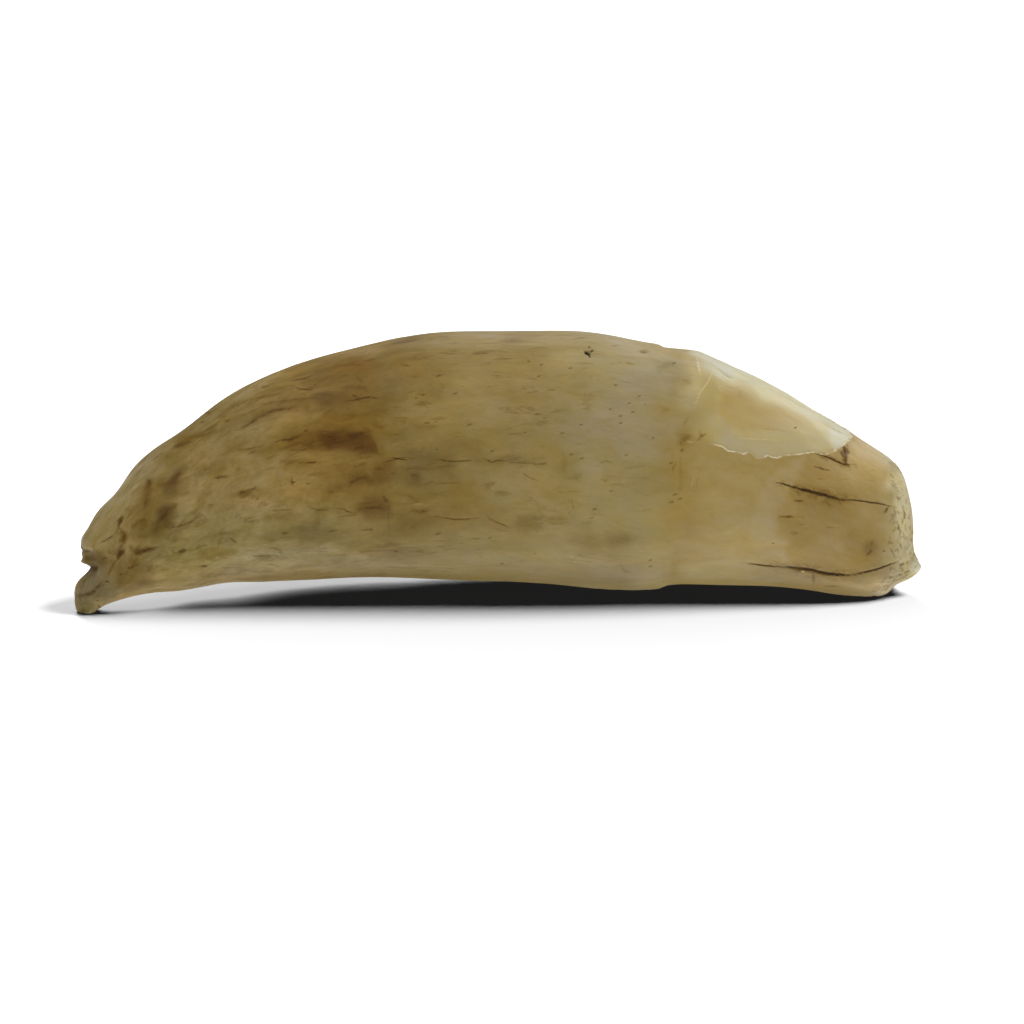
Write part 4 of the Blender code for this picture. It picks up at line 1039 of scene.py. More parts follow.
# ---------------------------------------------------------------- node helpers
class Nodes:
    """Short ways to make and join shader nodes.

    A node is made after the nodes that it reads. The renderer works them out in the order in
    which they were made, so few values wait at a time and a long shader keeps within its room.
    """

    def __init__(self, tree):
        self.tree = tree
        tree.nodes.clear()

    def join(self, value, socket):
        if isinstance(value, bpy.types.NodeSocket):
            self.tree.links.new(value, socket)
        elif value is not None:
            socket.default_value = value

    def make(self, kind, **settings):
        node = self.tree.nodes.new(kind)
        for name, value in settings.items():
            setattr(node, name, value)
        return node

    def math(self, operation, a, b=None, c=None, clamp=False):
        node = self.make("ShaderNodeMath", operation=operation, use_clamp=clamp)
        for value, socket in zip((a, b, c), node.inputs):
            self.join(value, socket)
        return node.outputs[0]

    def vector(self, operation, a, b=None):
        node = self.make("ShaderNodeVectorMath", operation=operation)
        self.join(a, node.inputs[0])
        self.join(b, node.inputs[1])
        return node.outputs["Value" if operation in ("LENGTH", "DISTANCE", "DOT_PRODUCT") else "Vector"]

    def mix(self, share, a, b, blend="MIX"):
        node = self.make("ShaderNodeMix", data_type="RGBA", blend_type=blend, clamp_factor=True)
        self.join(share, node.inputs[0])
        self.join(a, node.inputs[6])
        self.join(b, node.inputs[7])
        return node.outputs[2]

    def times(self, a, b):
        """One colour times another; they stay colours, so that no change of kind comes between."""
        return self.mix(1.0, a, b if isinstance(b, bpy.types.NodeSocket) else (*b, 1), "MULTIPLY")

    def range(self, value, low, high, to_low=0.0, to_high=1.0, smooth=True):
        # a smooth range stays within its ends without a clamp, which would be a node made late
        node = self.make("ShaderNodeMapRange", interpolation_type="SMOOTHSTEP" if smooth else "LINEAR", clamp=not smooth)
        for item, socket in zip((value, low, high, to_low, to_high), node.inputs):
            self.join(item, socket)
        return node.outputs[0]

    def noise(self, vector, scale, detail=2.0, roughness=0.5, warp=0.0):
        """scale is the size of a wave along each coordinate."""
        size = self.vector("DIVIDE", vector, scale)
        node = self.make("ShaderNodeTexNoise")
        self.join(size, node.inputs["Vector"])
        node.inputs["Scale"].default_value = 1.0
        node.inputs["Detail"].default_value = detail
        node.inputs["Roughness"].default_value = roughness
        node.inputs["Distortion"].default_value = warp
        return node.outputs[0]

    def cells(self, vector, scale):
        size = self.vector("DIVIDE", vector, scale)
        node = self.make("ShaderNodeTexVoronoi", feature="F1")
        self.join(size, node.inputs["Vector"])
        node.inputs["Scale"].default_value = 1.0
        return node.outputs["Distance"], node.outputs["Color"]

    def attribute(self, name, output="Vector"):
        return self.make("ShaderNodeAttribute", attribute_name=name).outputs[output]

    def apart(self, vector):
        node = self.make("ShaderNodeSeparateXYZ")
        self.join(vector, node.inputs[0])
        return node.outputs


LAYERS, STAINS, MILKS = 11, 5, 3
BROAD = 3.0  # a stain at least this soft is laid into the base tone, a crisper one by the shader


def old_ivory():
    material = bpy.data.materials.new("old_ivory")
    material.use_nodes = True
    n = Nodes(material.node_tree)
    out = n.make("ShaderNodeOutputMaterial")
    shader = n.make("ShaderNodeBsdfPrincipled")
    n.join(shader.outputs[0], out.inputs["Surface"])

    grain = n.attribute("grain")
    tone = n.attribute("tone", "Color")
    stained, crowned, pitted = n.apart(n.attribute("zone"))[:3]
    rim, flaked, hollow = n.apart(n.attribute("flake"))[:3]
    crisp, uneven = n.apart(n.attribute("touch"))[:2]

    # stains with an edge: how far in from their outlines, frayed along the grain
    frayed = n.math("SUBTRACT", n.noise(grain, (3.6, 1.1, 1.1), 4.0, 0.58, 0.5), 0.5)
    on_flake = n.range(rim, n.math("SUBTRACT", n.math("MULTIPLY", crisp, 1.45), 1.5), n.math("SUBTRACT", 7.0, n.math("MULTIPLY", crisp, 6.65)))

    def thinner(share):
        """Half-laid stain is yellower than either the ivory or the full stain."""
        half_laid = n.math("MULTIPLY", n.math("MULTIPLY", share, n.math("SUBTRACT", 1.0, share)), 3.0)
        return n.mix(half_laid, (1, 1, 1, 1), (1.0, 0.965, 0.80, 1))

    for kind, count in (("stain", STAINS), ("milk", MILKS)):
        for layer in range(count):
            deep, strength, fray = n.apart(n.attribute(f"{kind}{layer}"))[:3]
            wash = n.make("ShaderNodeAttribute", attribute_name=f"{kind}_ink{layer}").outputs["Color"]
            share = n.range(n.math("ADD", deep, n.math("MULTIPLY", frayed, fray)), -1.0, 1.0)
            share = n.math("MULTIPLY", share, strength)
            if kind == "milk":
                share = n.math("MULTIPLY", share, on_flake)
                tone = n.mix(share, tone, wash)
            else:
                tone = n.times(n.mix(share, tone, wash), thinner(share))

    # mottling, strongest towards the root; where it is darker it is browner too
    streaky = n.math("SUBTRACT", 1.0, n.math("MULTIPLY", crowned, 0.75))
    fine = n.noise(grain, (2.6, 0.55, 0.55), 3.0, 0.60, 0.5)
    broad = n.noise(grain, (6.4, 2.5, 2.5), 6.0, 0.62, 0.7)
    mottle = n.noise(grain, (2.4, 1.5, 1.5), 4.0, 0.62, 0.4)
    cloud = n.noise(grain, (11.0, 6.0, 6.0), 4.0, 0.6, 0.8)
    light = n.math("MULTIPLY", n.math("SUBTRACT", fine, 0.5), n.math("MULTIPLY", streaky, 0.09))
    grit = n.noise(grain, (0.75, 0.5, 0.5), 2.0, 0.6)
    light = n.math("ADD", light, n.math("MULTIPLY", n.math("SUBTRACT", grit, 0.5), n.math("MULTIPLY", uneven, 0.16)))
    light = n.math("ADD", light, n.math("MULTIPLY", n.math("SUBTRACT", broad, 0.5), n.math("MULTIPLY", uneven, 1.10)))
    light = n.math("ADD", light, n.math("MULTIPLY", n.math("SUBTRACT", mottle, 0.5), n.math("MULTIPLY", uneven, 0.55)))
    light = n.math("ADD", light, n.math("MULTIPLY", n.math("SUBTRACT", cloud, 0.5), n.math("MULTIPLY", uneven, 0.55)))
    quiet = n.math("SUBTRACT", 1.0, n.math("MULTIPLY", flaked, 0.75))
    light = n.math("MULTIPLY", light, quiet)
    shares = [n.math("ADD", n.math("MULTIPLY", light, share), 1.0) for share in (0.92, 1.05, 2.0)]
    even = n.make("ShaderNodeCombineColor")
    for share, socket in zip(shares, even.inputs):
        n.join(share, socket)
    colour = n.times(tone, n.mix(1.0, even.outputs[0], (0.2, 0.2, 0.1, 1), "LIGHTEN"))
    # patches of yellower and of greyer ivory
    hue = n.noise(grain, (8.0, 5.0, 5.0), 4.0, 0.6, 0.8)
    warmer = n.times(colour, (1.03, 0.98, 0.76))
    greyer = n.times(colour, (0.97, 1.0, 1.22))
    colour = n.mix(n.math("MULTIPLY", n.range(hue, 0.50, 0.34), 0.6), colour, greyer)
    colour = n.mix(n.math("MULTIPLY", n.range(hue, 0.50, 0.66), 0.6), colour, warmer)

    # brown stain drawn out along the grain, most of it towards the root
    stain = n.noise(grain, (8.0, 1.9, 1.9), 6.0, 0.64, 1.2)
    amount = n.math("MULTIPLY", n.range(stain, 0.53, 0.63), n.range(cloud, 0.42, 0.58))
    amount = n.math("MULTIPLY", amount, stained)
    brown = n.times(colour, (0.66, 0.56, 0.36))
    colour = n.mix(n.math("MULTIPLY", amount, 0.70), colour, brown)

    # short dashes and pinpricks where the surface is worn open
    dash = n.noise(grain, (1.5, 0.21, 0.21), 2.0, 0.5, 0.4)
    dash = n.math("MULTIPLY", n.range(dash, 0.62, 0.72), n.range(mottle, 0.52, 0.62))
    dash = n.math("MULTIPLY", dash, n.math("ADD", n.math("MULTIPLY", stained, 0.8), 0.05))
    spot, cell = n.cells(grain, (1.9, 1.2, 1.2))
    chances = n.make("ShaderNodeSeparateColor")
    n.join(cell, chances.inputs[0])
    chance = chances.outputs
    size = n.range(chance[0], 0.80, 1.0, 0.0, 0.17, smooth=False)
    prick = n.math("MULTIPLY", n.range(n.math("SUBTRACT", spot, size), 0.0, -0.05), n.range(chance[1], 0.2, 1.0, 0.2, 0.9))
    prick = n.math("MULTIPLY", prick, n.math("SUBTRACT", 1.0, n.math("MULTIPLY", flaked, 0.9)))
    dark = n.times(colour, (0.42, 0.35, 0.24))
    colour = n.mix(n.math("MULTIPLY", dash, 0.75), colour, dark)
    colour = n.mix(n.math("MULTIPLY", prick, 0.75), colour, dark)
    opened = n.math("MAXIMUM", dash, prick)

    # the pitted ends: dirt in the pits, paler crests
    pits = n.noise(n.attribute("shape"), (0.95, 0.95, 0.95), 3.0, 0.55)
    dirt = n.math("MULTIPLY", n.range(pits, 0.54, 0.64), pitted)
    colour = n.mix(n.math("MULTIPLY", dirt, 0.62), colour, n.times(colour, (0.56, 0.49, 0.36)))

    torn = n.math("SUBTRACT", n.noise(grain, (1.9, 1.0, 1.0), 3.0, 0.55, 0.5), 0.5)

    # dashes, cracks and blots with a line to follow
    ragged = n.math("SUBTRACT", n.noise(grain, (0.9, 0.34, 0.34), 3.0, 0.65), 0.5)
    gaps = n.noise(grain, (0.8, 0.28, 0.28), 2.0, 0.6)
    for layer in range(LAYERS):
        along, off, strength = n.apart(n.attribute(f"mark{layer}"))[:3]
        kind = n.make("ShaderNodeAttribute", attribute_name=f"ink{layer}")
        away = n.math("SQRT", n.math("ADD", n.math("POWER", n.math("ABSOLUTE", along), 2.4), n.math("MULTIPLY", off, off)))
        soft = kind.outputs["Alpha"]
        blotch = n.range(soft, 0.84, 0.92)
        crinkled = n.math("SUBTRACT", 2.4, n.math("MULTIPLY", blotch, 2.0))
        bend = n.math("ADD", n.math("MULTIPLY", ragged, crinkled), n.math("MULTIPLY", n.math("MULTIPLY", torn, blotch), 3.2))
        away = n.math("ADD", away, n.math("MULTIPLY", bend, soft))
        share = n.range(away, n.math("ADD", 1.0, n.math("MULTIPLY", soft, 0.25)), n.math("SUBTRACT", 1.0, soft))
        # the middle of a dash is broken up, a crack's is not
        break_up = n.math("MULTIPLY", n.range(gaps, 0.58, 0.40), n.range(soft, 0.62, 0.80, 0.0, 0.55))
        share = n.math("MULTIPLY", share, n.math("SUBTRACT", 1.0, break_up))
        share = n.math("MULTIPLY", share, strength)
        colour = n.times(n.mix(share, colour, kind.outputs["Color"]), thinner(share))
        hard = n.math("MULTIPLY", share, n.range(soft, 0.95, 0.70))
        opened = n.math("MAXIMUM", opened, hard)

    # painted highlight: the thin lit edge of the flake, in short scallops, laid into the colour
    lip = n.noise(grain, (1.5, 1.5, 1.5), 2.0, 0.5)
    edge = n.math("MULTIPLY", n.range(rim, 0.24, 0.08), n.range(rim, -0.12, 0.0))
    edge = n.math("MULTIPLY", n.math("MULTIPLY", edge, n.range(lip, 0.42, 0.56, 0.12, 1.0)), crisp)
    colour = n.mix(n.math("MULTIPLY", edge, 0.75), colour, (*pigment(214, 205, 176), 1))

    n.join(colour, shader.inputs["Base Color"])

    # gloss: satin, duller where it is broken or open, smoother on the flake
    smear = n.noise(grain, (10.0, 3.0, 3.0), 3.0, 0.6)
    gloss = n.range(smear, 0.3, 0.7, 0.42, 0.56)
    gloss = n.math("ADD", gloss, n.math("MULTIPLY", pitted, 0.16))
    gloss = n.math("ADD", gloss, n.math("MULTIPLY", opened, 0.20))
    gloss = n.math("ADD", gloss, n.math("MULTIPLY", hollow, 0.15))
    gloss = n.math("SUBTRACT", gloss, n.math("MULTIPLY", flaked, 0.06))
    n.join(n.math("MINIMUM", gloss, 0.85), shader.inputs["Roughness"])
    shader.inputs["IOR"].default_value = 1.5
    shader.inputs["Specular IOR Level"].default_value = 0.13
    shader.inputs["Subsurface Weight"].default_value = 0.22
    shader.inputs["Subsurface Radius"].default_value = (1.0, 0.62, 0.28)
    shader.inputs["Subsurface Scale"].default_value = 0.0016

    # fine grain lines and open marks, too small for the mesh
    height = n.math("MULTIPLY", n.math("SUBTRACT", fine, 0.5), 0.018)
    lines = n.noise(grain, (4.0, 0.22, 0.22), 2.0, 0.5)
    height = n.math("ADD", height, n.math("MULTIPLY", n.math("SUBTRACT", lines, 0.5), 0.003))
    height = n.math("MULTIPLY", height, quiet)
    height = n.math("ADD", height, n.math("MULTIPLY", n.math("MULTIPLY", n.math("SUBTRACT", pits, 0.5), pitted), 0.14))
    bump = n.make("ShaderNodeBump")
    bump.inputs["Strength"].default_value = 0.8
    bump.inputs["Distance"].default_value = MM
    n.join(height, bump.inputs["Height"])
    n.join(bump.outputs[0], shader.inputs["Normal"])
    return material


# ---------------------------------------------------------------- marks
def front_lines():
    marks = [
        Line((a, b, c, d), half, strength, ink, soft)
        for a, b, c, d, half, strength, ink, soft in FRONT_MARKS
    ]
    cuts = [Line(p, half, strength, ink, soft, cut) for p, half, strength, ink, soft, cut in FRONT_CUTS]
    halos = [Line(c.points, c.half * 3.2, 0.60, (96, 72, 42), 0.93) for c in cuts if c.groove >= 0.26 and c.length > 14]
    return cuts + halos + [Line(*stain) for stain in FRONT_STAINS] + marks


def back_lines(rng):
    """The side away from the drawing: long drying cracks, and stains and dashes of the same kinds."""
    made = []

    def wander(long, sway):
        x = np.linspace(-long / 2, long / 2, max(3, int(long / 7)))
        y = np.cumsum(rng.normal(0, sway, len(x)))
        return np.stack([x, y - np.linspace(y[0], y[-1], len(x)) * 0.6], axis=1).ravel()

    for s0, t0, long, half, cut in (
        (143, 20, 105, 1.7, 0.42), (150, -38, 88, 1.5, 0.36), (137, 46, 60, 1.1, 0.24),
        (128, -12, 44, 0.9, 0.16), (70, 4, 120, 1.1, 0.16), (92, -30, 90, 1.0, 0.12),
        (48, 38, 80, 1.2, 0.16), (30, -14, 54, 1.3, 0.22), (20, 22, 34, 1.5, 0.28),
        (104, 62, 70, 0.9, 0.10), (62, -62, 70, 1.0, 0.12), (118, -70, 60, 0.9, 0.10),
    ):
        made.append(
            Line(wander(long, 1.3), half, 0.95, DARK if cut > 0.2 else BROWN, 0.6, cut,
                 (s0, np.radians(t0) % (2 * np.pi)))
        )
    for _ in range(420):
        s0 = LENGTH * (0.03 + 0.94 * rng.random() ** 1.25)
        t0 = rng.uniform(-1.9, 1.9) % (2 * np.pi)
        toward_root = 1 - s0 / LENGTH
        if rng.random() < 0.26:
            long, half, soft = rng.uniform(14, 58), rng.uniform(2.2, 6.5), 0.97
            strength = rng.uniform(0.22, 0.5) * (0.45 + 0.75 * toward_root)
            ink = (BROWN, BROWN, OLIVE, RED, LILAC)[rng.integers(5)]
        else:
            long, half, soft = rng.uniform(1.5, 16), rng.uniform(0.8, 1.9), 0.75
            strength = rng.uniform(0.4, 0.75) * (0.6 + 0.5 * toward_root)
            ink = (DARK, DARK, BROWN, BROWN, GREY)[rng.integers(5)]
        tilt = rng.normal(0, 0.08)
        end = (long / 2 * np.cos(tilt), long / 2 * np.sin(tilt))
        made.append(Line((-end[0], -end[1], *end), half, strength, ink, soft, 0.0, (s0, t0)))
    return made


def lay_marks(place, lines, pitch):
    """Shares the lines out over layers, so that no two of one layer come near each other."""
    count = len(place["s"])
    layers = [
        {"vector": np.zeros((count, 3)), "ink": np.zeros((count, 4)), "claimed": np.zeros(count, np.int32), "gap": np.full(count, 1e9)}
        for _ in range(LAYERS)
    ]
    dropped = 0
    for number, line in enumerate(lines, 1):
        # full strength to one face past what shows, and one more face to fade
        shown = line.half * (1.05 + 0.9 * line.soft) + 0.6
        near, a, b, gap = line.measure(place, shown + 2.6 * pitch + 4)
        hold = shown + pitch
        zone = gap < hold + 1.5 * pitch
        near, a, b, gap = near[zone], a[zone], b[zone], gap[zone]
        if not len(near):
            continue
        for layer in layers:
            if (layer["claimed"][near] == 0).all():
                break
        else:
            dropped += 1
            continue
        layer["claimed"][near] = number
        layer["vector"][near] = np.stack([a, b, line.strength * (gap < hold)], axis=1)
        layer["ink"][near] = (*pigment(*line.ink), line.soft)
    print("marks", len(lines), "without room", dropped)
    return layers


def lay_patches(place, patches, room, pitch):
    """The same for the stains with an edge: depth, strength and fraying, and the colour."""
    count = len(place["s"])
    layers = [(np.zeros((count, 3)), np.zeros((count, 4)), np.zeros(count, bool)) for _ in range(room)]
    dropped = 0
    for patch in patches:
        near, deep = patch.measure(place, 1.8 * patch.half + 2.4 * pitch)
        if not len(near):
            continue
        for vector, ink, claimed in layers:
            if not claimed[near].any():
                break
        else:
            dropped += 1
            continue
        claimed[near] = True
        hold = deep * patch.half > -(1.8 * patch.half + 1.2 * pitch)
        vector[near] = np.stack([np.clip(deep, -4, 4), patch.strength * hold, 0 * deep + patch.fray], axis=1)
        ink[near] = (*pigment(*patch.ink), 1)
    print("patches", len(patches), "without room", dropped)
    return layers


# ---------------------------------------------------------------- base tone
# colour along the tooth: place, colour
TONES = (
    (-74, (134, 118, 78)), (-66, (134, 114, 70)), (-58, (128, 108, 62)), (-44, (130, 110, 64)),
    (-30, (126, 106, 62)), (-20, (122, 102, 58)), (-8, (136, 117, 72)), (8, (142, 124, 80)),
    (24, (146, 130, 88)), (30, (146, 126, 78)), (38, (152, 133, 86)), (50, (150, 130, 80)),
    (62, (154, 134, 84)), (69, (160, 143, 100)), (73, (158, 144, 106)),
)


def base_tone(s, turn, points, place, rng):
    x = points[:, 0]
    u, v = place["u"], place["v"]
    g = rounds(s, turn)
    at = np.array([t[0] for t in TONES], float)
    colours = np.array([pigment(*t[1]) for t in TONES])
    drift = x + 4.0 * waves(g / [14.0, 9.0, 9.0], 71)
    tone = np.stack([np.interp(drift, at, colours[:, k]) for k in range(3)], axis=1)
    bend_u = u + 5.0 * waves(g / 5.0, 72) + 2.0 * waves(g / 2.0, 73)
    bend_v = v + 3.0 * waves(g / 4.0, 74) + 1.5 * waves(g / 1.8, 75)
    seen = ramp(-0.25, 0.0, place["facing"])

    def patch(share, colour):
        share = share[:, None]
        tone[:] = tone * (1 - share) + pigment(*colour) * share

    for cu, cv, ru, rv, tilt, colour, strength in FRONT_TONES:
        c, d = np.cos(np.radians(tilt)), np.sin(np.radians(tilt))
        a = ((bend_u - cu) * c + (bend_v - cv) * d) / ru
        b = ((bend_v - cv) * c - (bend_u - cu) * d) / rv
        patch(strength * (1 - ramp(0.35, 1.35, np.hypot(a, b))) * seen, colour)

    def soak(entries, within):
        """Lays the softer of the outlined stains into the tone, frayed along the grain, the marked patches of painted
        shade and sheen among them.
        """
        for stain in (Patch(*entry) for entry in entries):
            if stain.half >= BROAD:
                near, depth = stain.measure(place, 3 * stain.half)
                uneven = waves(g[near] / [3.6, 1.1, 1.1], 77) + 0.6 * waves(g[near] / [1.8, 0.6, 0.6], 78)
                share = stain.strength * ramp(-1, 1, depth + 0.13 * stain.fray * uneven) * within[near]
                tone[near] += (pigment(*stain.ink) - tone[near]) * share[:, None]

    soak(FRONT_PATCHES, seen)

    # the far side and the underside: the same kinds of patches, placed at random
    radius = place["round"]
    for _ in range(90):
        s0, t0 = rng.uniform(0, LENGTH), rng.uniform(-2.2, 2.0)
        swing = (turn - t0 + np.pi) % (2 * np.pi) - np.pi
        a = (s - s0) / rng.uniform(4, 13)
        b = swing * radius / rng.uniform(1.8, 6)
        share = 1 - ramp(0.3, 1.4, np.hypot(a, b) + 0.5 * waves(g / 4.0, 76))
        if s0 < 60:
            colour = ((112, 90, 48), (142, 124, 78), (124, 104, 66), (104, 82, 42))[rng.integers(4)]
        elif s0 < 105:
            colour = ((140, 124, 92), (118, 98, 56), (148, 130, 84), (150, 130, 80))[rng.integers(4)]
        else:
            colour = ((160, 140, 94), (148, 124, 72), (168, 148, 100), (150, 134, 96))[rng.integers(4)]
        patch(rng.uniform(0.3, 0.65) * share * (1 - seen), colour)

    # the flake lays bare a paler, greyer layer
    deep = place["deep"]
    crisp = ramp(700, 724, u) * seen + (1 - seen)
    on = ramp(-0.05, 0.5, deep) * crisp + ramp(-1.5, 7.0, deep) * (1 - crisp)
    patch(on * 0.9, (172, 157, 112))
    edge = ramp(-0.05, 0.5, deep) * ramp(0.0, 0.16, 0.30 - place["facing"]) * seen
    patch(edge * 0.5, (180, 176, 154))
    patch(on * (1 - seen) * 0.6, (186, 174, 140))
    bevel = on * (1 - ramp(1.4, 3.0, deep)) * ramp(708, 724, u)
    patch(bevel * 0.40, (160, 150, 118))
    soak(FLAKE_PATCHES, on * seen)

    # greyer towards the root, less yellow at the crown, browner high in the middle
    root_half = 1 - ramp(-48, -22, x)
    crown_end = ramp(34, 56, x) * (1 - on)
    upper = ramp(-26, -14, x) * (1 - ramp(12, 24, x)) * ramp(412, 372, v) * seen
    left = ramp(-45, -35, x) * (1 - ramp(-26, -16, x)) * ramp(520, 490, v) * seen
    middle = ramp(-30, -18, x) * (1 - ramp(22, 36, x)) * ramp(400, 450, v) * seen
    low = ramp(-66, -60, x) * (1 - ramp(-34, -20, x)) * ramp(500, 522, v) * ramp(574, 552, v) * seen
    end = ramp(64, 70, x)
    for share, change in (
        (root_half, (0.0, 0.0, 0.10)), (crown_end, (-0.04, -0.05, 0.05)), (upper, (0.01, -0.02, -0.17)),
        (left, (0.04, -0.03, -0.20)), (low, (-0.05, 0.04, 0.25)), (end, (0.0, 0.08, 0.11)),
        (middle, (-0.06, -0.06, -0.06)),
    ):
        tone *= 1 + share[:, None] * np.array(change)

    # painted shade: darker in the hollow under the upper lobe
    patch(place["hollow"] * 0.35, (96, 80, 50))
    return tone


# ---------------------------------------------------------------- the tooth
def near_lines(place, lines, reach):
    hit = np.zeros(len(place["s"]), bool)
    for line in lines:
        if line.groove >= (0.10 if line.skin_at is None else 0.2):
            near, _, _, gap = line.measure(place, reach + 2)
            hit[near[gap < reach]] = True
    return hit


def wanted_faces(faces, hit):
    return [len(f) == 4 and bool(hit[list(f)].any()) for f in faces]


def whale_tooth():
    rng = np.random.default_rng(20)
    lines = front_lines() + back_lines(rng)
    s, turn, faces = net(AROUND)
    points, out, lift = base(s, turn, triangles(faces))
    points = points + lift[:, None] * out
    outline = flake_outline(points, out, s, turn)

    for level, (line_reach, rim_reach) in enumerate(((5.0, 0.9), (2.8, 0.4))):
        points, out, lift = base(s, turn, triangles(faces))
        place = survey(s, turn, points, out)
        deep = inside(points[:, 0], (turn - np.pi / 2) * ARC, outline)
        hit = near_lines(place, lines, line_reach) | ((np.abs(deep) < rim_reach) & (level == 0))
        hit |= (np.abs(deep) < rim_reach) & (place["facing"] > 0) & (place["u"] > 712)
        u, v, seen = place["u"], place["v"], place["facing"] > -0.1
        if level == 0:
            hit |= (s < 12) & ((u < 124) | ~seen)
            hit |= s > LENGTH - 6.5
            hit |= seen & (u > 886)
        else:
            hit |= seen & (u < 104) & (v > 540) & (v < 590)
            hit |= seen & (u > 889)
        s, turn, faces = split(s, turn, faces, wanted_faces(faces, hit))

    points, place = shaped(s, turn, faces, lines, outline)
    print("tooth", len(points), "points", len(triangles(faces)), "triangles")

    mesh = bpy.data.meshes.new("whale_tooth_skin")
    mesh.from_pydata(((points - MIDDLE) * MM).tolist(), [], faces)
    mesh.update()
    mesh.shade_smooth()

    def carry(name, kind, values):
        attribute = mesh.attributes.new(name, kind, "POINT")
        field = {"FLOAT_COLOR": "color", "FLOAT_VECTOR": "vector", "FLOAT": "value"}[kind]
        attribute.data.foreach_set(field, np.asarray(values, np.float32).ravel())

    carry("grain", "FLOAT_VECTOR", rounds(s, turn))
    carry("shape", "FLOAT_VECTOR", points)
    tone = base_tone(s, turn, points, place, rng)
    carry("tone", "FLOAT_COLOR", np.concatenate([tone, np.ones((len(tone), 1))], axis=1))
    stained = 1 - ramp(-12, 44, points[:, 0] + 6 * waves(rounds(s, turn) / 12, 81))
    stained = np.clip(stained + 0.12, 0, 1)
    pitted = np.clip(ramp(0, 1, place["worn"]) + place["broken"], 0, 1)
    carry("zone", "FLOAT_VECTOR", np.stack([stained, ramp(28, 32, points[:, 0]), pitted], axis=1))
    flaked = ramp(0, 0.4, place["deep"])
    carry("flake", "FLOAT_VECTOR", np.stack([np.clip(place["deep"], -4, 4), flaked, place["hollow"]], axis=1))
    crisp = ramp(706, 724, place["u"]) * ramp(-0.3, 0.0, place["facing"])
    along = points[:, 0]
    uneven = 0.34 + 0.55 * (1 - ramp(-34, -6, along)) + 0.12 * (1 - ramp(4, 26, along)) + 0.06 * ramp(28, 40, along)
    carry("touch", "FLOAT_VECTOR", np.stack([crisp, uneven, 0 * uneven], axis=1))
    layers = lay_marks(place, lines, 5.0)
    for number, layer in enumerate(layers):
        carry(f"mark{number}", "FLOAT_VECTOR", layer["vector"])
        carry(f"ink{number}", "FLOAT_COLOR", layer["ink"])
    for kind, entries, room in (("stain", FRONT_PATCHES, STAINS), ("milk", FLAKE_PATCHES, MILKS)):
        patches = [Patch(*entry) for entry in entries if entry[1] < BROAD]
        for number, (vector, ink, _) in enumerate(lay_patches(place, patches, room, 5.0)):
            carry(f"{kind}{number}", "FLOAT_VECTOR", vector)
            carry(f"{kind}_ink{number}", "FLOAT_COLOR", ink)
    mesh.materials.append(old_ivory())
    tooth = bpy.data.objects.new("whale_tooth_skin", mesh)
    # the black of its shadow stays neutral: no light goes from its underside to the paper
    tooth.visible_diffuse = False
    bpy.context.scene.collection.objects.link(tooth)
    return tooth


# ---------------------------------------------------------------- floor, light, camera
def white_floor():
    mesh = bpy.data.meshes.new("floor")
    far = 40.0
    mesh.from_pydata([(-far, -far, 0), (far, -far, 0), (far, far, 0), (-far, far, 0)], [], [(0, 1, 2, 3)])
    material = bpy.data.materials.new("white_paper")
    material.use_nodes = True
    shader = material.node_tree.nodes["Principled BSDF"]
    shader.inputs["Base Color"].default_value = (0.20, 0.20, 0.20, 1)
    shader.inputs["Roughness"].default_value = 0.9
    shader.inputs["Specular IOR Level"].default_value = 0.0
    mesh.materials.append(material)
    floor = bpy.data.objects.new("floor", mesh)
    floor.location.z = -0.00005
    bpy.context.scene.collection.objects.link(floor)
    return floor


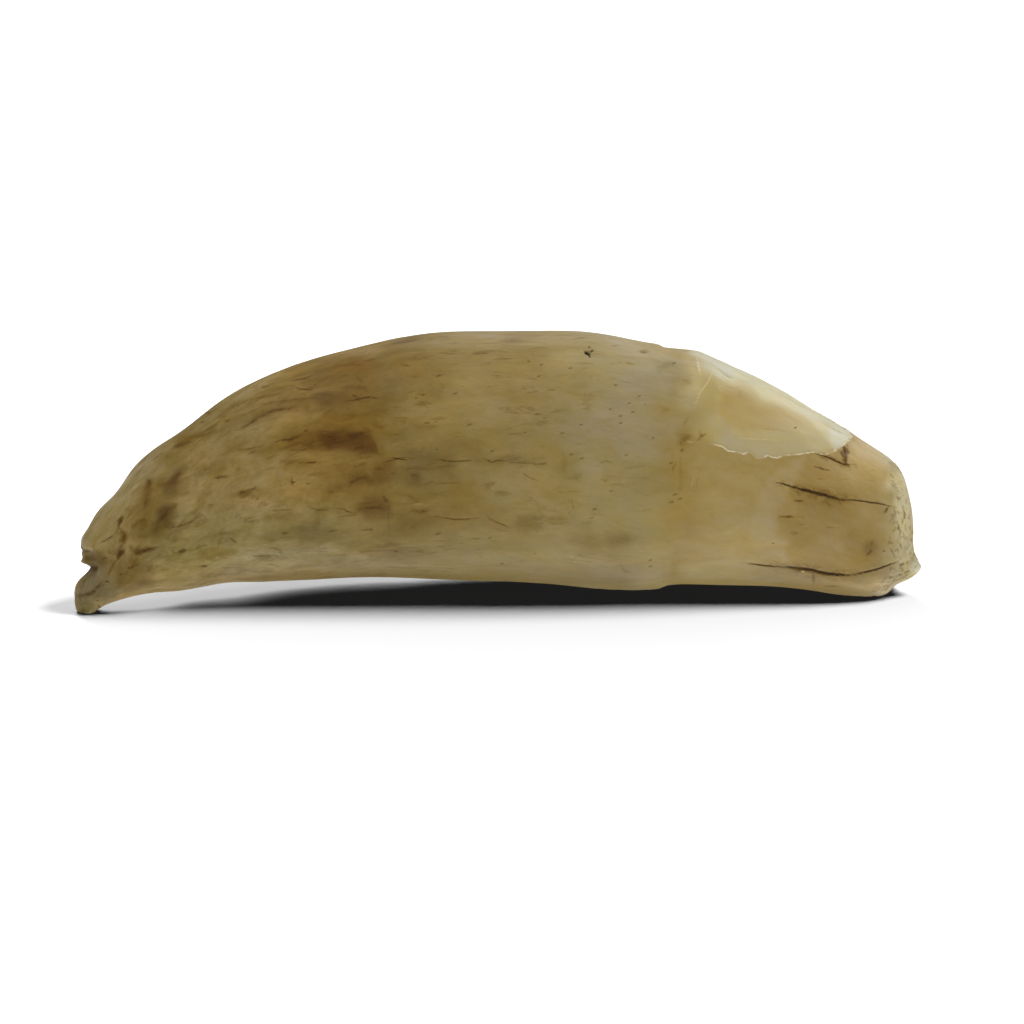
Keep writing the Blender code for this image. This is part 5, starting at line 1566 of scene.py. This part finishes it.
def lights(floor):
    scene = bpy.context.scene
    world = bpy.data.worlds.new("white_room")
    scene.world = world
    world.use_nodes = True
    n = Nodes(world.node_tree)
    out = n.make("ShaderNodeOutputWorld")
    seen, lit = n.make("ShaderNodeBackground"), n.make("ShaderNodeBackground")
    seen.inputs["Color"].default_value = (1, 1, 1, 1)
    seen.inputs["Strength"].default_value = 1.02
    lit.inputs["Color"].default_value = (1.0, 0.99, 0.97, 1)
    lit.inputs["Strength"].default_value = 0.06
    path, mix = n.make("ShaderNodeLightPath"), n.make("ShaderNodeMixShader")
    n.join(path.outputs["Is Camera Ray"], mix.inputs[0])
    n.join(lit.outputs[0], mix.inputs[1])
    n.join(seen.outputs[0], mix.inputs[2])
    n.join(mix.outputs[0], out.inputs["Surface"])

    def only(state):
        """A collection that holds the floor alone, for a light to reach or to leave out."""
        held = bpy.data.collections.new("floor_" + state.lower())
        held.objects.link(floor)
        held.collection_objects[0].light_linking.link_state = state
        return held

    def sun(name, strength, spread, toward, on_floor):
        data = bpy.data.lights.new(name, "SUN")
        data.energy, data.angle = strength, np.radians(spread)
        lamp = bpy.data.objects.new(name, data)
        lamp.rotation_mode = "QUATERNION"
        lamp.rotation_quaternion = Vector(toward).to_track_quat("-Z", "Y")
        scene.collection.objects.link(lamp)
        if on_floor:
            lamp.light_linking.receiver_collection = only("INCLUDE")
            data.cycles.use_multiple_importance_sampling = False
        else:
            lamp.light_linking.receiver_collection = only("EXCLUDE")
            lamp.light_linking.blocker_collection = only("EXCLUDE")

    # the white paper is lit on its own, from above on the right and low from behind, under the
    # arch; the tooth is lit softly from all sides
    sun("paper_above", 18.0, 26, (-0.75, -0.21, -0.98), True)
    sun("paper_behind", 28.0, 16, (0.12, -0.95, -0.30), True)
    sun("paper_fill", 2.4, 40, (0.0, -0.64, -0.77), True)
    sun("overhead", 2.0, 60, (0.03, 0.08, -1.0), False)
    sun("front", 0.56, 60, (-0.15, 1.0, -0.65), False)
    sun("table", 2.6, 60, (0.0, 0.3, 2.0), False)
    sun("behind", 1.2, 50, (-0.45, -1.0, -0.75), False)
    sun("side", 0.6, 60, (-1.0, 0.25, -0.6), False)


def camera():
    data = bpy.data.cameras.new("camera")
    data.lens, data.sensor_width = 135, 36
    data.clip_start, data.clip_end = 0.01, 200
    eye = Vector((np.array(DRAWN_FROM) - MIDDLE) * MM)
    at = Vector((np.array(DRAWN_AT) - MIDDLE) * MM)
    made = bpy.data.objects.new("camera", data)
    made.location = eye
    made.rotation_euler = (at - eye).to_track_quat("-Z", "Y").to_euler()
    bpy.context.scene.collection.objects.link(made)
    bpy.context.scene.camera = made


camera()
paper = white_floor()
lights(paper)
bpy.context.scene.view_settings.view_transform = "Standard"

tooth = whale_tooth()
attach(tooth, "root")
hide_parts("whale_tooth")
